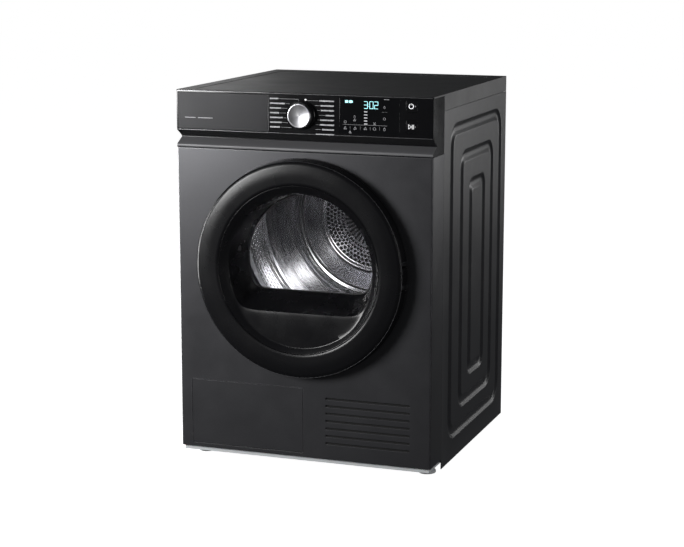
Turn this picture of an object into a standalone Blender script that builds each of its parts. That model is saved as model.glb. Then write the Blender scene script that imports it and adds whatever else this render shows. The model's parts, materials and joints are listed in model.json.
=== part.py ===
"""Front-loading clothes dryer: cabinet, control fascia, round door, drum drive and heat pump.

Frame: metres, +Z up, +X to the right and +Y to the back of the machine. The origin is the
middle of the footprint on the floor. FRONT and BACK are the two ends of the cabinet; the
door stands DOOR_PROUD in front of it.
"""
import math

import bmesh
import bpy
from mathutils import Vector

# ---- overall sizes
WIDTH = 0.600
HEIGHT = 0.850
DEPTH = 0.600
DOOR_PROUD = 0.037
FIT = 0.0004            # gap kept between pieces that touch
SHEET = 0.0012          # steel sheet of the cabinet

# ---- cabinet
FLANK = 0.0815          # how far the front panel and the fascia wrap round the sides
SIDE_LOW = 0.0065       # lower edge of the side panels above the floor
SKIRT = 0.0365          # height of the worktop's side skirt
TOP_PLATE = 0.004
PRESS = 0.0035          # depth of the channels pressed into the side panels
CHANNEL = 0.030         # width of one pressed channel
TRAY_LOW = 0.0185
TRAY_FLOOR = 0.004
TRAY_WALL = 0.003
TRAY_TOP = 0.045
PANEL_LOW = 0.0285      # lower edge of the front panel
REAR_INSET = 0.012      # the rear panel sits this far inside the side panels' ends

# ---- control fascia, with the handle groove under it
FASCIA_HEIGHT = 0.1295
FASCIA_FACE = 0.090     # height of its flat face
FASCIA_WALL = 0.003
GROOVE_DEPTH = 0.028
GROOVE_DROP = 0.0175    # from the face's lower edge to the deepest line
LIP_HEIGHT = 0.0075
DRAWER_WIDTH = 0.220
DRAWER_BORDER = 0.0025
DRAWER_TRAVEL = 0.40
TANK_LENGTH = 0.466
TANK_WALL = 0.003
KNOB_R = 0.027
KNOB_PROUD = 0.020
KNOB_SKIRT = 0.005
KNOB_DROP = 0.048       # knob axis below the worktop
KNOB_SHAFT_R = 0.004
WINDOW_WIDTH = 0.138
WINDOW_TO_SIDE = 0.075
BUTTON = 0.027
BUTTON_TO_SIDE = 0.0484
BUTTON_DROPS = (0.0204, 0.0644)
BUTTON_DEPTH = 0.006

# ---- door, from the rim inwards
DOOR_R = 0.247
HOLE_MARGIN = 0.055     # the panel's hole lies this far inside the door's rim
THROAT_STEP = 0.0145    # from the hole in to the throat
PLUG_ROOM = 0.0055      # from the throat in to the plug on the door
BOWL_MARGIN = 0.0020    # from the plug in to the edge of the D-shaped recess
GLASS_MARGIN = 0.0195   # from that edge in to the glass
BOWL_CHORD = 0.5706     # the recess's flat lower side, as a share of its radius
GLASS_CHORD = 0.4618    # the same for the glass
GLASS_RISE = 0.0598     # how far the glass sits above the door's centre, as a share of its radius
DOOR_GAP = 0.003        # the door's back stands off the panel
DOOR_WALL = 0.0025
BOWL_WALL = 0.0018
DOOR_RIDGE = 0.0575     # from the rim in to the ridge of the ring
GLASS_IN = 0.048        # the glass lies this far behind the panel's face
GLASS = 0.004
GLASS_EDGE = 0.003
PLUG_TAPER = 0.006
PLUG_IN = 0.061
HINGE_INSET = 0.013     # hinge axis from the door's rim
HINGE_OUT = 0.0255      # hinge axis in front of the panel
HINGE_ARM = math.radians(125)
LUG_Z = 0.026
LUG_HEIGHT = 0.010
BARREL_R = 0.0032
PIN_R = 0.0016

# ---- lower front
FLAP_WIDTH = 0.273
FLAP_TO_SIDE = 0.027
FLAP_LOW = 0.037
FLAP_HEIGHT = 0.152
FLAP_CORNER = 0.0035    # small, so that the flap's ends clear the opening as it turns
FLAP_GAP = 0.0008
FLAP_SHEET = 0.003
FLAP_AXIS_UP = 0.0035
SLOTS = 7
SLOT_LENGTH = 0.199
SLOT_TO_SIDE = 0.048
SLOT_HEIGHT = 0.005
SLOT_PITCH = 0.0172
SLOT_LOW = 0.063

# ---- drum and its drive
DRUM_R = 0.281
DRUM_SHEET = 0.0012
DRUM_DROP = 0.345       # drum axis below the top of the machine
DRUM_RISE = 0.043       # drum axis above the door's centre
LIP_R = 0.205           # the drum's open mouth
BULKHEAD = 0.0016       # steel of the two bulkheads
BULKHEAD_IN = 0.112     # front bulkhead behind the panel's face
DRUM_START = 0.118
REAR_ROOM = 0.088       # from the rear bulkhead to the back
SHAFT_R = 0.012
BEARING_R = 0.026
LIFTERS = 3
LIFTER_HEIGHT = 0.046
ROLLER_R = 0.032
ROLLER_WIDTH = 0.018
ROLLER_ANGLE = math.radians(33)
ROLLER_PIN_R = 0.006
ROLLER_IN = 0.1240      # front faces of the rollers, behind the panel's face
COLLAR_R = 0.188        # the collar the drum's felt ring runs on
MOTOR_X = 0.150
MOTOR_Z = 0.115
MOTOR_R = 0.048
PULLEY_R = 0.012
BELT = 0.0024
BELT_WIDTH = 0.010
BELT_IN = 0.181
IDLER_R = 0.018
FAN_R = 0.052
THROAT_WALL = 0.0025
FILTER_SHARE = 1.1268   # width of the lint filter, as a share of the throat's radius
FILTER_IN = 0.074
FILTER_THICK = 0.024
FILTER_DROP = 0.080
FOOT_R = 0.020
FOOT_TO_SIDE = 0.030
FOOT_STEM_R = 0.005
EXCHANGER_TOP = 0.172
EXCHANGER_WIDTH = 0.242
GLAND_Z = 0.090
ARM_Z = 0.060
ARM_THICK = 0.004
ARM_PIN_R = 0.006

# ---- how finely circles are cut
ROUND = 48              # sides of the door's circles
TURNS = 40              # sides of the drum's circles
ARC = 30                # sides of the belt's run round the drum

# ---- derived places
HALF = WIDTH / 2
FRONT = (DOOR_PROUD - DEPTH) / 2
BACK = FRONT + DEPTH
FASCIA_LOW = HEIGHT - FASCIA_HEIGHT
FACE_LOW = HEIGHT - FASCIA_FACE
DRAWER_RIGHT = -HALF + DRAWER_WIDTH
DRUM_Z = HEIGHT - DRUM_DROP
DOOR_Z = DRUM_Z - DRUM_RISE
HOLE_R = DOOR_R - HOLE_MARGIN
THROAT_R = HOLE_R - THROAT_STEP
PLUG_R = THROAT_R - PLUG_ROOM
BOWL_R = PLUG_R - BOWL_MARGIN
BOWL_FLAT = BOWL_CHORD * BOWL_R
GLASS_R = BOWL_R - GLASS_MARGIN
GLASS_FLAT = GLASS_CHORD * GLASS_R
GLASS_LIFT = GLASS_RISE * GLASS_R
FILTER_WIDTH = FILTER_SHARE * THROAT_R
HINGE_X = DOOR_R - HINGE_INSET
HINGE_Y = FRONT - HINGE_OUT
REAR_WALL = BACK - REAR_ROOM
DRUM_END = REAR_WALL - 0.011
TRAY_INSIDE = TRAY_LOW + TRAY_FLOOR
KNOB_Z = HEIGHT - KNOB_DROP
BUTTON_X = HALF - BUTTON_TO_SIDE
FLAP_X = -HALF + FLAP_TO_SIDE
FLAP_AXIS_Z = FLAP_LOW + FLAP_AXIS_UP
FLAP_AXIS_Y = FRONT + FLAP_SHEET / 2
BELT_Y = FRONT + BELT_IN
SIDE_FRONT = FRONT + FLANK + FIT
EXCHANGER_X = -HALF + 0.038
LUG_ROOT = HINGE_X + HINGE_OUT / math.tan(HINGE_ARM)
HOOK_X = -DOOR_R + 0.036
GLAND_X = HALF - 0.060
ARM_X = MOTOR_X - 0.065
ARM_Y = BELT_Y + 0.009
THROAT_LOW = DOOR_Z - THROAT_R
FILTER_LOW = THROAT_LOW - FILTER_DROP
ROLLER_Y = FRONT + ROLLER_IN


# ---------------------------------------------------------------- mesh helpers
def block(low, high):
    """A box between two corners."""
    mesh = bmesh.new()
    bmesh.ops.create_cube(mesh, size=1.0)
    low, high = Vector(low), Vector(high)
    size = high - low
    for vert in mesh.verts:
        vert.co = Vector(a * b for a, b in zip(vert.co, size)) + (low + high) / 2
    return mesh


def on_axis(axis, a, b, along):
    """A point whose coordinate on the axis is `along`; a and b are the other two, in XYZ order."""
    return {"x": Vector((along, a, b)), "y": Vector((a, along, b)), "z": Vector((a, b, along))}[axis]


def skin(rings, caps=True):
    """Quads between equal rings of points, closed at both ends or into a loop."""
    mesh = bmesh.new()
    rows = [[mesh.verts.new(point) for point in ring] for ring in rings]
    pairs = list(zip(rows, rows[1:])) if caps else list(zip(rows, rows[1:] + rows[:1]))
    for near, far in pairs:
        for i in range(len(near)):
            j = (i + 1) % len(near)
            mesh.faces.new((near[i], near[j], far[j], far[i]))
    if caps:
        mesh.faces.new(rows[0])
        mesh.faces.new(rows[-1])
    return mesh


def prism(outline, axis, low, high):
    """An outline in the plane across the axis, extruded along it."""
    return skin([[on_axis(axis, a, b, end) for a, b in outline] for end in (low, high)])


def turned(profile, axis, centre, segments):
    """A profile of (radius, along) turned about an axis; it closes on itself or on the axis."""
    mesh = bmesh.new()
    rows = []
    for radius, along in profile:
        if radius < 1e-9:
            rows.append([mesh.verts.new(on_axis(axis, centre[0], centre[1], along))] * segments)
            continue
        row = []
        for i in range(segments):
            turn = 2 * math.pi * i / segments
            a = centre[0] + radius * math.cos(turn)
            b = centre[1] + radius * math.sin(turn)
            row.append(mesh.verts.new(on_axis(axis, a, b, along)))
        rows.append(row)
    for near, far in zip(rows, rows[1:] + rows[:1]):
        for i in range(segments):
            j = (i + 1) % segments
            corners = list(dict.fromkeys((near[i], near[j], far[j], far[i])))
            if len(corners) > 2:
                mesh.faces.new(corners)
    return mesh


def rod(radius, axis, centre, low, high, segments=16):
    return turned([(0, low), (radius, low), (radius, high), (0, high)], axis, centre, segments)


def ring(inner, outer, axis, centre, low, high, segments):
    return turned([(inner, low), (outer, low), (outer, high), (inner, high)], axis, centre, segments)


def together(*meshes):
    """Several shapes in one mesh, for a tool that cuts or adds them all at once."""
    whole = bmesh.new()
    for part in meshes:
        data = bpy.data.meshes.new("part")
        bmesh.ops.recalc_face_normals(part, faces=part.faces)
        part.to_mesh(data)
        part.free()
        whole.from_mesh(data)
        bpy.data.meshes.remove(data)
    return whole


def rounded_box(left, right, low, high, radius, steps=3):
    """The outline of a rectangle with round corners, counter-clockwise from the lower right."""
    corners = ((right, low, -90), (right, high, 0), (left, high, 90), (left, low, 180))
    points = []
    for a, b, start in corners:
        middle_a = a - radius if a == right else a + radius
        middle_b = b - radius if b == high else b + radius
        for i in range(steps + 1):
            turn = math.radians(start + 90 * i / steps)
            points.append((middle_a + radius * math.cos(turn), middle_b + radius * math.sin(turn)))
    return points


def data_from(mesh, name):
    bmesh.ops.recalc_face_normals(mesh, faces=mesh.faces)
    data = bpy.data.meshes.new(name)
    mesh.to_mesh(data)
    mesh.free()
    return data


def piece(name, mesh, finish, origin=(0, 0, 0), smooth=None):
    """One sub-part: an object of its own, with its own material and its origin where it turns."""
    bmesh.ops.translate(mesh, verts=mesh.verts, vec=-Vector(origin))
    thing = bpy.data.objects.new(name, data_from(mesh, name))
    thing.location = origin
    bpy.context.scene.collection.objects.link(thing)
    colour, roughness, metallic = finish
    material = bpy.data.materials.new(name)
    material.use_nodes = True
    shader = material.node_tree.nodes["Principled BSDF"]
    shader.inputs["Base Color"].default_value = (*colour, 1)
    shader.inputs["Roughness"].default_value = roughness
    shader.inputs["Metallic"].default_value = metallic
    thing.data.materials.append(material)
    if smooth:
        thing.data.shade_smooth()
        thing.data.set_sharp_from_angle(angle=math.radians(smooth))
    return thing


def tool(thing, mesh, operation):
    """Cut a shape out of a piece, or join it on."""
    name = f"{thing.name}_tool_{len(thing.modifiers)}"
    helper = bpy.data.objects.new(name, data_from(mesh, name))
    helper.hide_render = True
    helper.display_type = "WIRE"
    bpy.context.scene.collection.objects.link(helper)
    modifier = thing.modifiers.new(name, "BOOLEAN")
    modifier.operation = operation
    modifier.object = helper


def cut(thing, *meshes):
    tool(thing, together(*meshes), "DIFFERENCE")


def join(thing, *meshes):
    tool(thing, together(*meshes), "UNION")


# ---------------------------------------------------------------- finishes: colour, roughness, metal
GRAPHITE = ((0.060, 0.060, 0.065), 0.38, 0.6)
CABINET = ((0.018, 0.018, 0.021), 0.45, 0.3)
GLOSS_BLACK = ((0.006, 0.006, 0.007), 0.10, 0.0)
MATTE_BLACK = ((0.012, 0.012, 0.013), 0.55, 0.0)
SPUN_ALUMINIUM = ((0.75, 0.75, 0.76), 0.25, 1.0)
STAINLESS = ((0.62, 0.62, 0.63), 0.22, 1.0)
ZINC = ((0.48, 0.49, 0.50), 0.42, 1.0)
PALE_PLASTIC = ((0.60, 0.61, 0.62), 0.50, 0.0)
RUBBER = ((0.020, 0.020, 0.020), 0.85, 0.0)
FELT = ((0.30, 0.28, 0.25), 0.95, 0.0)
CLEAR = ((0.10, 0.11, 0.12), 0.05, 0.0)
GREEN_BOARD = ((0.03, 0.16, 0.07), 0.45, 0.0)
COPPER = ((0.60, 0.30, 0.18), 0.35, 1.0)
ALUMINIUM = ((0.60, 0.61, 0.62), 0.38, 1.0)


# ---------------------------------------------------------------- cabinet
def feet_places():
    """Across and along: the four feet."""
    rear = BACK - 0.050
    front = FRONT + 0.074
    across = HALF - FOOT_TO_SIDE
    return {"front_left": (-across, front), "front_right": (across, front),
            "rear_left": (-across, rear), "rear_right": (across, rear)}


def base_tray():
    side = HALF - SHEET - PRESS - FIT
    front = FRONT + 0.006
    rear = BACK - REAR_INSET - SHEET - FIT
    tray = piece("base_tray", block((-side, front, TRAY_LOW), (side, rear, TRAY_TOP)), PALE_PLASTIC)
    cut(tray, block((-side + TRAY_WALL, front + TRAY_WALL, TRAY_INSIDE),
                    (side - TRAY_WALL, rear - TRAY_WALL, TRAY_TOP + 0.01)))
    middle = TRAY_LOW + TRAY_FLOOR / 2
    bosses = [rod(0.011, "z", place, middle, TRAY_TOP, 12) for place in feet_places().values()]
    cradle = block((MOTOR_X - 0.035, FRONT + 0.215, middle),
                   (MOTOR_X + 0.035, FRONT + 0.290, MOTOR_Z - MOTOR_R - FIT))
    post = block((ARM_X - 0.012, ARM_Y + ARM_THICK + 0.0006, middle),
                 (ARM_X + 0.012, ARM_Y + ARM_THICK + 0.0120, ARM_Z + 0.012))
    join(tray, *bosses, cradle, post)
    holes = [rod(FOOT_STEM_R + 0.0007, "z", place, 0, TRAY_TOP + 0.01, 12)
             for place in feet_places().values()]
    pivot = rod(ARM_PIN_R + 0.0006, "y", (ARM_X, ARM_Z), ARM_Y - 0.01, ARM_Y + 0.03, 12)
    cut(tray, *holes, pivot)


def feet():
    """Pads on threaded stems, screwed into the tray."""
    for name, place in feet_places().items():
        profile = [(0, 0), (FOOT_R - 0.0015, 0), (FOOT_R, 0.0015), (FOOT_R, 0.006), (0.010, 0.011),
                   (0.010, TRAY_LOW - FIT), (FOOT_STEM_R, TRAY_LOW - FIT),
                   (FOOT_STEM_R, TRAY_TOP + 0.006), (0, TRAY_TOP + 0.006)]
        piece(f"foot_{name}", turned(profile, "z", place, 12), PALE_PLASTIC, (*place, 0), smooth=40)


def side_channels(front, back, low, high):
    """Rings of the pressed side panel from its edge in: three nested channels."""
    steps = 3
    rings = [(rounded_box(front, back, low, high, 0.002, steps), 0)]
    edges = ((0.045, 0.0375, 0.047, 0.0335, 0.055), (0.1265, 0.1085, 0.1035, 0.1015, 0.045),
             (0.2005, 0.1785, 0.1675, 0.1725, 0.030))
    for ahead, behind, below, above, corner in edges:
        for inward, depth in ((0, 0), (0.008, PRESS), (CHANNEL - 0.012, PRESS), (CHANNEL, 0)):
            radius = max(corner - inward, 0.012)
            rings.append((rounded_box(front + ahead + inward, back - behind - inward,
                                      low + below + inward, high - above - inward, radius, steps), depth))
    return rings


def pressed_sheet(rings, place):
    """A sheet pressed inward ring by ring; place(a, b, depth) gives a point of it."""
    outer = [[place(a, b, depth) for a, b in outline] for outline, depth in rings]
    inner = [[place(a, b, depth + SHEET) for a, b in outline] for outline, depth in reversed(rings)]
    mesh = bmesh.new()
    rows = [[mesh.verts.new(point) for point in row] for row in outer + inner]
    half = len(outer)
    for k in range(len(rows)):
        if k == half - 1:
            continue
        near, far = rows[k], rows[(k + 1) % len(rows)]
        for i in range(len(near)):
            j = (i + 1) % len(near)
            mesh.faces.new((near[i], near[j], far[j], far[i]))
    mesh.faces.new(rows[half - 1])
    mesh.faces.new(rows[half])
    return mesh


def side_panels():
    high = HEIGHT - SKIRT - FIT
    rings = side_channels(SIDE_FRONT, BACK, SIDE_LOW, high)
    for name, side in (("left", -1), ("right", 1)):
        mesh = pressed_sheet(rings, lambda a, b, depth, side=side: Vector((side * (HALF - depth), a, b)))
        piece(f"{name}_side_panel", mesh, CABINET, smooth=35)


def rear_panel():
    """A sheet with a raised plate over the air duct, a grille, and a hole for the cord's gland."""
    across = HALF - SHEET - PRESS - FIT
    low, high = SIDE_LOW + 0.012, HEIGHT - SKIRT - FIT
    surface = BACK - REAR_INSET
    corner = 0.06
    rings = [(rounded_box(-across, across, low, high, 0.002, 4), 0)]
    for inward, raised in ((0.060, 0), (0.070, -0.008)):
        rings.append((rounded_box(-across + inward, across - inward, low + 0.170 + inward,
                                  high - inward, corner, 4), raised))
    panel = piece("rear_panel", pressed_sheet(rings, lambda a, b, depth: Vector((a, surface - depth, b))),
                  ZINC, smooth=35)
    slots = [block((0.040 + 0.020 * i, surface - 0.02, 0.075), (0.048 + 0.020 * i, surface + 0.02, 0.165))
             for i in range(6)]
    gland = rod(0.0125, "y", (GLAND_X, GLAND_Z), surface - 0.02, surface + 0.02, 16)
    cut(panel, *slots, gland)


def cord_gland():
    """The cord's gland, with a flange outside the rear panel; the cord itself is not part of the model."""
    surface = BACK - REAR_INSET
    bore = 0.0045
    profile = [(bore, surface - 0.012), (0.0120, surface - 0.012), (0.0120, surface + FIT),
               (0.0165, surface + FIT), (0.0165, surface + 0.004), (bore + 0.003, BACK - 0.001),
               (bore, BACK - 0.001)]
    piece("cord_gland", turned(profile, "y", (GLAND_X, GLAND_Z), 16), MATTE_BLACK, smooth=40)


def worktop():
    """A top plate with side skirts behind the fascia and a shallow panel let into it."""
    top = piece("worktop", block((-HALF, FRONT + 0.006, HEIGHT - TOP_PLATE), (HALF, BACK, HEIGHT)),
                CABINET)
    join(top, block((-HALF, SIDE_FRONT, HEIGHT - SKIRT), (HALF, BACK, HEIGHT - TOP_PLATE / 2)))
    wall = 0.0045
    cut(top, block((-HALF + wall, SIDE_FRONT - 0.02, HEIGHT - SKIRT - 0.01),
                   (HALF - wall, BACK - wall, HEIGHT - TOP_PLATE)))
    cut(top, prism(rounded_box(-HALF + 0.033, HALF - 0.033, FRONT + 0.026, BACK - 0.046, 0.012),
                   "z", HEIGHT - 0.0012, HEIGHT + 0.01))


# ---------------------------------------------------------------- front panel and service flap
def flap_outline(gap):
    return rounded_box(FLAP_X + gap, FLAP_X + FLAP_WIDTH - gap, FLAP_LOW + gap,
                       FLAP_LOW + FLAP_HEIGHT - gap, FLAP_CORNER - gap)


def front_panel():
    """A sheet wrapped round both front corners, with all its openings."""
    bend = 0.004
    turns = [math.radians(90 * i / 3) for i in range(4)]
    outer = [(HALF - bend + bend * math.sin(t), FRONT + bend - bend * math.cos(t)) for t in turns]
    small = bend - SHEET
    inner = [(HALF - bend + small * math.sin(t), FRONT + bend - small * math.cos(t)) for t in turns]
    right = outer + [(HALF, FRONT + FLANK), (HALF - SHEET, FRONT + FLANK)] + inner[::-1]
    left = [(-x, y) for x, y in right[::-1]]
    panel = piece("front_panel", prism(right + left, "z", PANEL_LOW, FASCIA_LOW - FIT), GRAPHITE, smooth=35)
    ahead, behind = FRONT - 0.01, FRONT + 0.012
    openings = [rod(HOLE_R, "y", (0, DOOR_Z), ahead, behind, ROUND),
                prism(flap_outline(0), "y", ahead, behind)]
    for i in range(SLOTS):
        low = SLOT_LOW + SLOT_PITCH * i
        outline = rounded_box(HALF - SLOT_TO_SIDE - SLOT_LENGTH, HALF - SLOT_TO_SIDE, low,
                              low + SLOT_HEIGHT, SLOT_HEIGHT / 2 - 0.0001, 2)
        openings.append(prism(outline, "y", ahead, behind))
    for side in (-1, 1):
        middle = DOOR_Z + side * LUG_Z
        openings.append(block((LUG_ROOT - 0.0040, ahead, middle - LUG_HEIGHT / 2 - 0.0006),
                              (LUG_ROOT + 0.0040, behind, middle + LUG_HEIGHT / 2 + 0.0006)))
    openings.append(block((HOOK_X - 0.0060, ahead, DOOR_Z - 0.013),
                          (HOOK_X + 0.0075, behind, DOOR_Z + 0.013)))
    cut(panel, *openings)


def service_flap():
    """The flap over the heat exchanger; it turns about its lower edge."""
    piece("service_flap", prism(flap_outline(FLAP_GAP), "y", FRONT, FRONT + FLAP_SHEET), GRAPHITE,
          (FLAP_X + FLAP_WIDTH / 2, FLAP_AXIS_Y, FLAP_AXIS_Z))


# ---------------------------------------------------------------- control fascia
def control_fascia():
    """A moulding over the whole width, open at the back, with the handle groove below its face."""
    lip = FASCIA_LOW + LIP_HEIGHT
    deepest = FACE_LOW - GROOVE_DROP
    rim, shelf = HEIGHT - 0.0005, HEIGHT - TOP_PLATE - FIT
    outline = [(FRONT, rim), (FRONT, FACE_LOW), (FRONT + GROOVE_DEPTH, deepest), (FRONT, lip),
               (FRONT, FASCIA_LOW), (FRONT + FLANK, FASCIA_LOW), (FRONT + FLANK, shelf),
               (FRONT + 0.0056, shelf), (FRONT + 0.0056, rim)]
    fascia = piece("control_fascia", prism(outline, "x", -HALF, HALF), GLOSS_BLACK)
    wall = FASCIA_WALL
    inside = [(FRONT + wall, shelf - wall), (FRONT + wall, FACE_LOW + wall),
              (FRONT + GROOVE_DEPTH + wall, deepest + wall), (FRONT + GROOVE_DEPTH + wall, FASCIA_LOW + wall),
              (FRONT + FLANK + 0.01, FASCIA_LOW + wall), (FRONT + FLANK + 0.01, shelf - wall)]
    cut(fascia, prism(inside, "x", -HALF + wall, HALF - wall))
    ahead, behind = FRONT - 0.01, FRONT + 0.010
    openings = [block((-HALF + DRAWER_BORDER, ahead, FACE_LOW + DRAWER_BORDER),
                      (DRAWER_RIGHT, behind, HEIGHT - 0.0050)),
                rod(KNOB_SHAFT_R + 0.0008, "y", (0, KNOB_Z), ahead, behind, 16)]
    for drop in BUTTON_DROPS:
        openings.append(prism(button_outline(drop, 0), "y", ahead, behind))
    cut(fascia, *openings)
    cut(fascia, prism(window_outline(0), "y", ahead, FRONT + 0.0014))


def button_outline(drop, gap):
    half = BUTTON / 2 - gap
    middle = HEIGHT - drop
    return rounded_box(BUTTON_X - half, BUTTON_X + half, middle - half, middle + half, 0.003)


def window_outline(gap):
    right = HALF - WINDOW_TO_SIDE - gap
    return rounded_box(right - WINDOW_WIDTH + 2 * gap, right, FACE_LOW + 0.0055 + gap,
                       HEIGHT - 0.0065 - gap, 0.002)


def controls():
    """Display window, board, programme knob and the two push buttons."""
    piece("display_window", prism(window_outline(FIT), "y", FRONT, FRONT + 0.0010), GLOSS_BLACK)
    low = FACE_LOW + FASCIA_WALL + FIT
    high = HEIGHT - TOP_PLATE - FASCIA_WALL - 2 * FIT
    piece("control_board", block((DRAWER_RIGHT + 0.020, FRONT + 0.0130, low),
                                 (HALF - 0.015, FRONT + 0.0190, high)), GREEN_BOARD)
    profile = [(0, FRONT - KNOB_PROUD), (KNOB_R - 0.0015, FRONT - KNOB_PROUD),
               (KNOB_R, FRONT - KNOB_PROUD + 0.0015), (KNOB_R, FRONT - KNOB_SKIRT),
               (KNOB_R + 0.005, FRONT - KNOB_SKIRT + 0.0008), (KNOB_R + 0.005, FRONT - 0.0006),
               (KNOB_SHAFT_R, FRONT - 0.0006), (KNOB_SHAFT_R, FRONT + 0.011), (0, FRONT + 0.011)]
    piece("programme_knob", turned(profile, "y", (0, KNOB_Z), 28), SPUN_ALUMINIUM,
          (0, FRONT, KNOB_Z), smooth=35)
    for name, drop in zip(("power_button", "start_button"), BUTTON_DROPS):
        piece(name, prism(button_outline(drop, FIT), "y", FRONT, FRONT + BUTTON_DEPTH), GLOSS_BLACK,
              (BUTTON_X, FRONT, HEIGHT - drop))


def tank_drawer():
    """The drawer front, and behind it the water tank that slides out with it."""
    gap = 0.0006
    piece("drawer_front", block((-HALF + DRAWER_BORDER + gap, FRONT, FACE_LOW + DRAWER_BORDER + gap),
                                (DRAWER_RIGHT - gap, FRONT + 0.0025, HEIGHT - 0.0050 - gap)), GRAPHITE)
    left, right = -HALF + 0.015, DRAWER_RIGHT - 0.025
    low, high = FACE_LOW + 0.016, HEIGHT - 0.012
    front = FRONT + 0.0025 + FIT
    tank = piece("water_tank", block((left, front, low), (right, front + TANK_LENGTH, high)), PALE_PLASTIC)
    wall = TANK_WALL
    cut(tank, block((left + wall, front + wall, low + wall),
                    (right - wall, front + TANK_LENGTH - wall, high - wall)))
    cut(tank, block((left + 0.030, front + TANK_LENGTH - 0.080, high - 0.010),
                    (right - 0.030, front + TANK_LENGTH - 0.030, high + 0.010)))


# ---------------------------------------------------------------- door
def flat_round(radius, flat, turn):
    """Radius at an angle of a circle cut flat below, its two corners rounded off."""
    down = -math.sin(turn)
    if down < 0.02:
        return radius
    chord, power = flat / down, 14
    return (radius ** -power + chord ** -power) ** (-1 / power)


def door_shell(rows):
    """A closed skin round the door's axis.

    A row is (radius, flat or None, depth behind the panel face) and at times a lift.
    """
    rings = []
    for radius, flat, depth, *lift in rows:
        points = []
        for i in range(ROUND):
            turn = 2 * math.pi * (i + 0.5) / ROUND
            r = radius if flat is None else flat_round(radius, flat, turn)
            height = DOOR_Z + sum(lift) + r * math.sin(turn)
            points.append(Vector((r * math.cos(turn), FRONT + depth, height)))
        rings.append(points)
    return skin(rings, caps=False)


def door_axis():
    return (HINGE_X, HINGE_Y, DOOR_Z)


def door_ring():
    """The outer ring: rim, crowned front and the ridge round the bowl."""
    ridge = DOOR_R - DOOR_RIDGE
    w = DOOR_WALL
    rows = [(DOOR_R - 0.003, None, -DOOR_GAP), (DOOR_R, None, -DOOR_GAP - 0.005),
            (DOOR_R - 0.0045, None, -0.031), (DOOR_R - 0.009, None, -0.0345),
            (DOOR_R - 0.030, None, -DOOR_PROUD), (ridge + 0.004, None, -0.0358), (ridge, None, -0.0350),
            (ridge, None, -0.0310), (ridge + 0.004, None, -0.0358 + w),
            (DOOR_R - 0.030, None, -DOOR_PROUD + w),
            (DOOR_R - 0.0105, None, -0.0345 + w), (DOOR_R - 0.0045 - w, None, -0.0290),
            (DOOR_R - w, None, -DOOR_GAP - 0.005), (DOOR_R - w - 0.001, None, -DOOR_GAP)]
    rim = piece("door_ring", door_shell(rows), GLOSS_BLACK, door_axis(), smooth=35)
    cut(rim, *hinge_room())


def hinge_room():
    """Space in the door for the two fixed lugs, over the whole swing."""
    room = 0.0015
    return [block((HINGE_X - 0.030, HINGE_Y - 0.0049, DOOR_Z + side * LUG_Z - LUG_HEIGHT / 2 - room),
                  (HINGE_X + 0.018, HINGE_Y + 0.030, DOOR_Z + side * LUG_Z + LUG_HEIGHT / 2 + room))
            for side in (-1, 1)]


def door_bowl():
    """The glossy bowl inside the ring, running back to the glass as a D-shaped funnel."""
    edge = DOOR_R - DOOR_RIDGE - 0.0006
    w = BOWL_WALL
    lip, end, share = -0.0180, GLASS_IN - FIT, 0.30     # the funnel rises to the glass from here on
    bend_r, bend_flat = BOWL_R + (GLASS_R - BOWL_R) * share, BOWL_FLAT + (GLASS_FLAT - BOWL_FLAT) * share
    bend = lip + (end - lip) * share
    rows = [(edge, None, -0.0345), (edge - 0.010, None, -0.0235),
            (BOWL_R + 0.003, BOWL_FLAT + 0.003, -0.0205), (BOWL_R, BOWL_FLAT, lip),
            (bend_r, bend_flat, bend), (GLASS_R, GLASS_FLAT, end, GLASS_LIFT),
            (GLASS_R + w, GLASS_FLAT + w, end, GLASS_LIFT), (bend_r + w, bend_flat + w, bend),
            (BOWL_R + w, BOWL_FLAT + w, lip + 0.0020),
            (edge - 0.008, None, -0.0200), (edge, None, -0.0300)]
    piece("door_bowl", door_shell(rows), GLOSS_BLACK, door_axis(), smooth=40)


def door_window():
    """A pane with a flat lower side, dished a little towards the drum."""
    rows = []
    for depth in (GLASS_IN, GLASS_IN + GLASS):
        rows.append([Vector((r * math.cos(t), FRONT + depth, DOOR_Z + GLASS_LIFT + r * math.sin(t)))
                     for t in [2 * math.pi * (i + 0.5) / ROUND for i in range(ROUND)]
                     for r in [flat_round(GLASS_R + GLASS_EDGE, GLASS_FLAT + GLASS_EDGE, t)]])
    piece("door_window", skin(rows), CLEAR, door_axis())


def door_inner_frame():
    """Closes the ring from behind and carries the plug that holds the glass."""
    w = DOOR_WALL
    back, tip = -DOOR_GAP, PLUG_IN
    narrow = PLUG_R - PLUG_TAPER
    rows = [(DOOR_R - w - 0.0016, None, back), (PLUG_R, None, back), (narrow, None, tip),
            (GLASS_R + 0.001, GLASS_FLAT + 0.001, tip, GLASS_LIFT),
            (GLASS_R + 0.001, GLASS_FLAT + 0.001, GLASS_IN + GLASS + FIT, GLASS_LIFT),
            (narrow - w, None, GLASS_IN + GLASS + FIT), (PLUG_R - w, None, back - w),
            (DOOR_R - w - 0.0016, None, back - w)]
    frame = piece("door_inner_frame", door_shell(rows), MATTE_BLACK, door_axis(), smooth=40)
    cut(frame, *hinge_room())


def door_seal():
    """A rubber ring in the panel's hole; the door's inner frame rests on it."""
    outer, inner = HOLE_R - 0.0006, THROAT_R + 0.001
    front, rear = FRONT - DOOR_GAP + FIT, FRONT + 0.0130
    profile = [(inner, front), (inner + 0.004, front), (outer, FRONT + 0.0002), (outer, rear), (inner, rear)]
    piece("door_seal", turned(profile, "y", (0, DOOR_Z), ROUND), RUBBER, smooth=40)


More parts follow.
